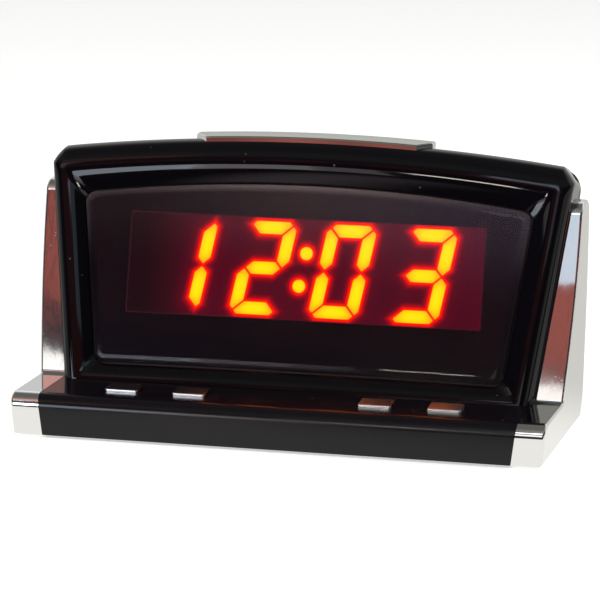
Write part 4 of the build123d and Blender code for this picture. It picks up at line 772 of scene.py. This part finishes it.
# Side frames
# A foot and a raked upright in one hollow plastic moulding on each side, screwed to the base from
# inside. The bright chrome plating shows faint waves, long streaks and fine pits.
def chrome_plating(name, colour=(0.90, 0.90, 0.90), roughness=0.035, streak_share=0.16):
    """Bright plating over plastic: long faint waves, fine pits and a light haze."""
    material, tree, shader = plain_material(name, colour, roughness, metallic=1.0)
    place = place_on(tree)
    waves = noise(tree, place, 32.0, 2.0)
    drawn = shader_node(
        tree, "ShaderNodeMapping", sockets={"Vector": place, "Scale": (1.0, 1.0, 0.10)}, out="Vector"
    )
    streaks = noise(tree, drawn, 420.0, 3.0)
    pits = shader_node(
        tree, "ShaderNodeTexVoronoi", {"feature": "F1"}, {"Vector": place, "Scale": 420.0}, out="Distance"
    ).ramp(0.14, 0.06) * noise(tree, place, 150.0, 1.0).ramp(0.58, 0.66)
    feed(
        tree, shader,
        Roughness=noise(tree, place, 25.0, 5.0).ramp(0.4, 0.8, roughness, roughness * 2.5) + pits * 0.3,
        Normal=bumped(tree, waves - pits * 0.06 + streaks * streak_share, 0.25 * mm, 0.3),
    )
    return material


frame_chrome = chrome_plating("frame_chrome")
for node in ("side_frame_right", "side_frame_left"):
    finish_node(node, frame_chrome)

# Keys
# Four small plastic wedges with duller plating. Each stands a little out of the base, on a stem
# that reaches down through it to its own push switch.
key_chrome = chrome_plating("key_chrome", roughness=0.17, streak_share=0.0)
for node in ("time_key", "hour_key", "minute_key", "alarm_key"):
    finish_node(node, key_chrome)

# Rear cover, battery door, socket and switch
# Grained black mouldings at the back: the cover with its vents, the hinged battery door, the
# supply socket with its metal pin, and the sliding alarm switch.
cover_black = grained_plastic("cover_grained_black", (0.016, 0.016, 0.017), 0.42)
for node in ("rear_cover", "battery_door"):
    finish_node(node, cover_black)
fitting_black = grained_plastic("fitting_black", (0.01, 0.01, 0.011), 0.35, 2200.0)
for node in ("supply_socket", "alarm_switch_knob"):
    finish_node(node, fitting_black)


def bare_metal(name, colour, roughness, stretch=(1.0, 1.0, 12.0)):
    """Drawn or rolled metal with fine lines."""
    material, tree, shader = plain_material(name, colour, roughness, metallic=1.0)
    lined = shader_node(
        tree, "ShaderNodeMapping", sockets={"Vector": place_on(tree), "Scale": stretch}, out="Vector"
    )
    lines = noise(tree, lined, 700.0, 3.0)
    feed(
        tree, shader,
        Roughness=lines.ramp(0.3, 0.7, roughness * 0.7, roughness * 1.4),
        Normal=bumped(tree, lines, 0.01 * mm, 0.4),
    )
    return material


nickel = bare_metal("nickel_plate", (0.72, 0.70, 0.66), 0.22)
for node in ("supply_socket_pin", "battery_contacts", "display_pins", "alarm_switch_case"):
    finish_node(node, nickel)
cell_sleeve = bare_metal("cell_sleeve", (0.34, 0.30, 0.16), 0.25, (14.0, 1.0, 1.0))
finish_node("battery_cells", cell_sleeve)

# Rubber pads
# Four round pads of soft black rubber that carry the clock. They are pressed and glued into
# shallow seats in the bottom plate.
finish_node("rubber_pads", grained_plastic("pad_rubber", (0.02, 0.02, 0.02), 0.85, 2500.0, 0.06 * mm))

# Circuit boards and what they carry
# Glass-fibre boards under green lacquer, screwed to bosses inside. They carry moulded chips and
# switches and drawn metal cans, and grey cables join them.
board_green, tree, shader = plain_material("solder_mask", (0.01, 0.09, 0.03), 0.35)
place = place_on(tree)
weave = noise(tree, place, 1800.0, 2.0)
dark_lacquer, light_lacquer = (0.008, 0.075, 0.024), (0.014, 0.12, 0.04)
feed(
    tree, shader,
    Base_Color=noise(tree, place, 130.0, 2.0).ramp(0.45, 0.55).blend(dark_lacquer, light_lacquer),
    Normal=bumped(tree, weave, 0.02 * mm, 0.4),
)
for node in ("display_board", "main_board", "key_board", "snooze_board"):
    finish_node(node, board_green)
chip_black = grained_plastic("chip_black", (0.013, 0.013, 0.014), 0.55, 3000.0)
for node in ("clock_chip", "buzzer", "voltage_regulator", "key_switches", "snooze_switch"):
    finish_node(node, chip_black)
pale_moulding = grained_plastic("pale_moulding", (0.62, 0.60, 0.54), 0.45, 2000.0)
for node in ("key_switch_buttons", "snooze_switch_button", "ribbon_connectors"):
    finish_node(node, pale_moulding)
drawn_can = bare_metal("drawn_can", (0.62, 0.63, 0.65), 0.3)
for node in ("capacitors", "crystal"):
    finish_node(node, drawn_can)
cable_grey = grained_plastic("cable_grey", (0.30, 0.30, 0.31), 0.5, 1200.0)
for node in ("display_ribbon", "key_ribbon", "snooze_leads"):
    finish_node(node, cable_grey)

# Screws
# Steel screws with round heads and a thin zinc plating. They hold the rear cover, the housing,
# the bottom plate, the side frames and the boards.
zinc = bare_metal("zinc_plate", (0.56, 0.56, 0.55), 0.3)
for node in ("rear_cover_screws", "housing_screws", "base_screws", "side_frame_screws", "board_screws"):
    finish_node(node, zinc)
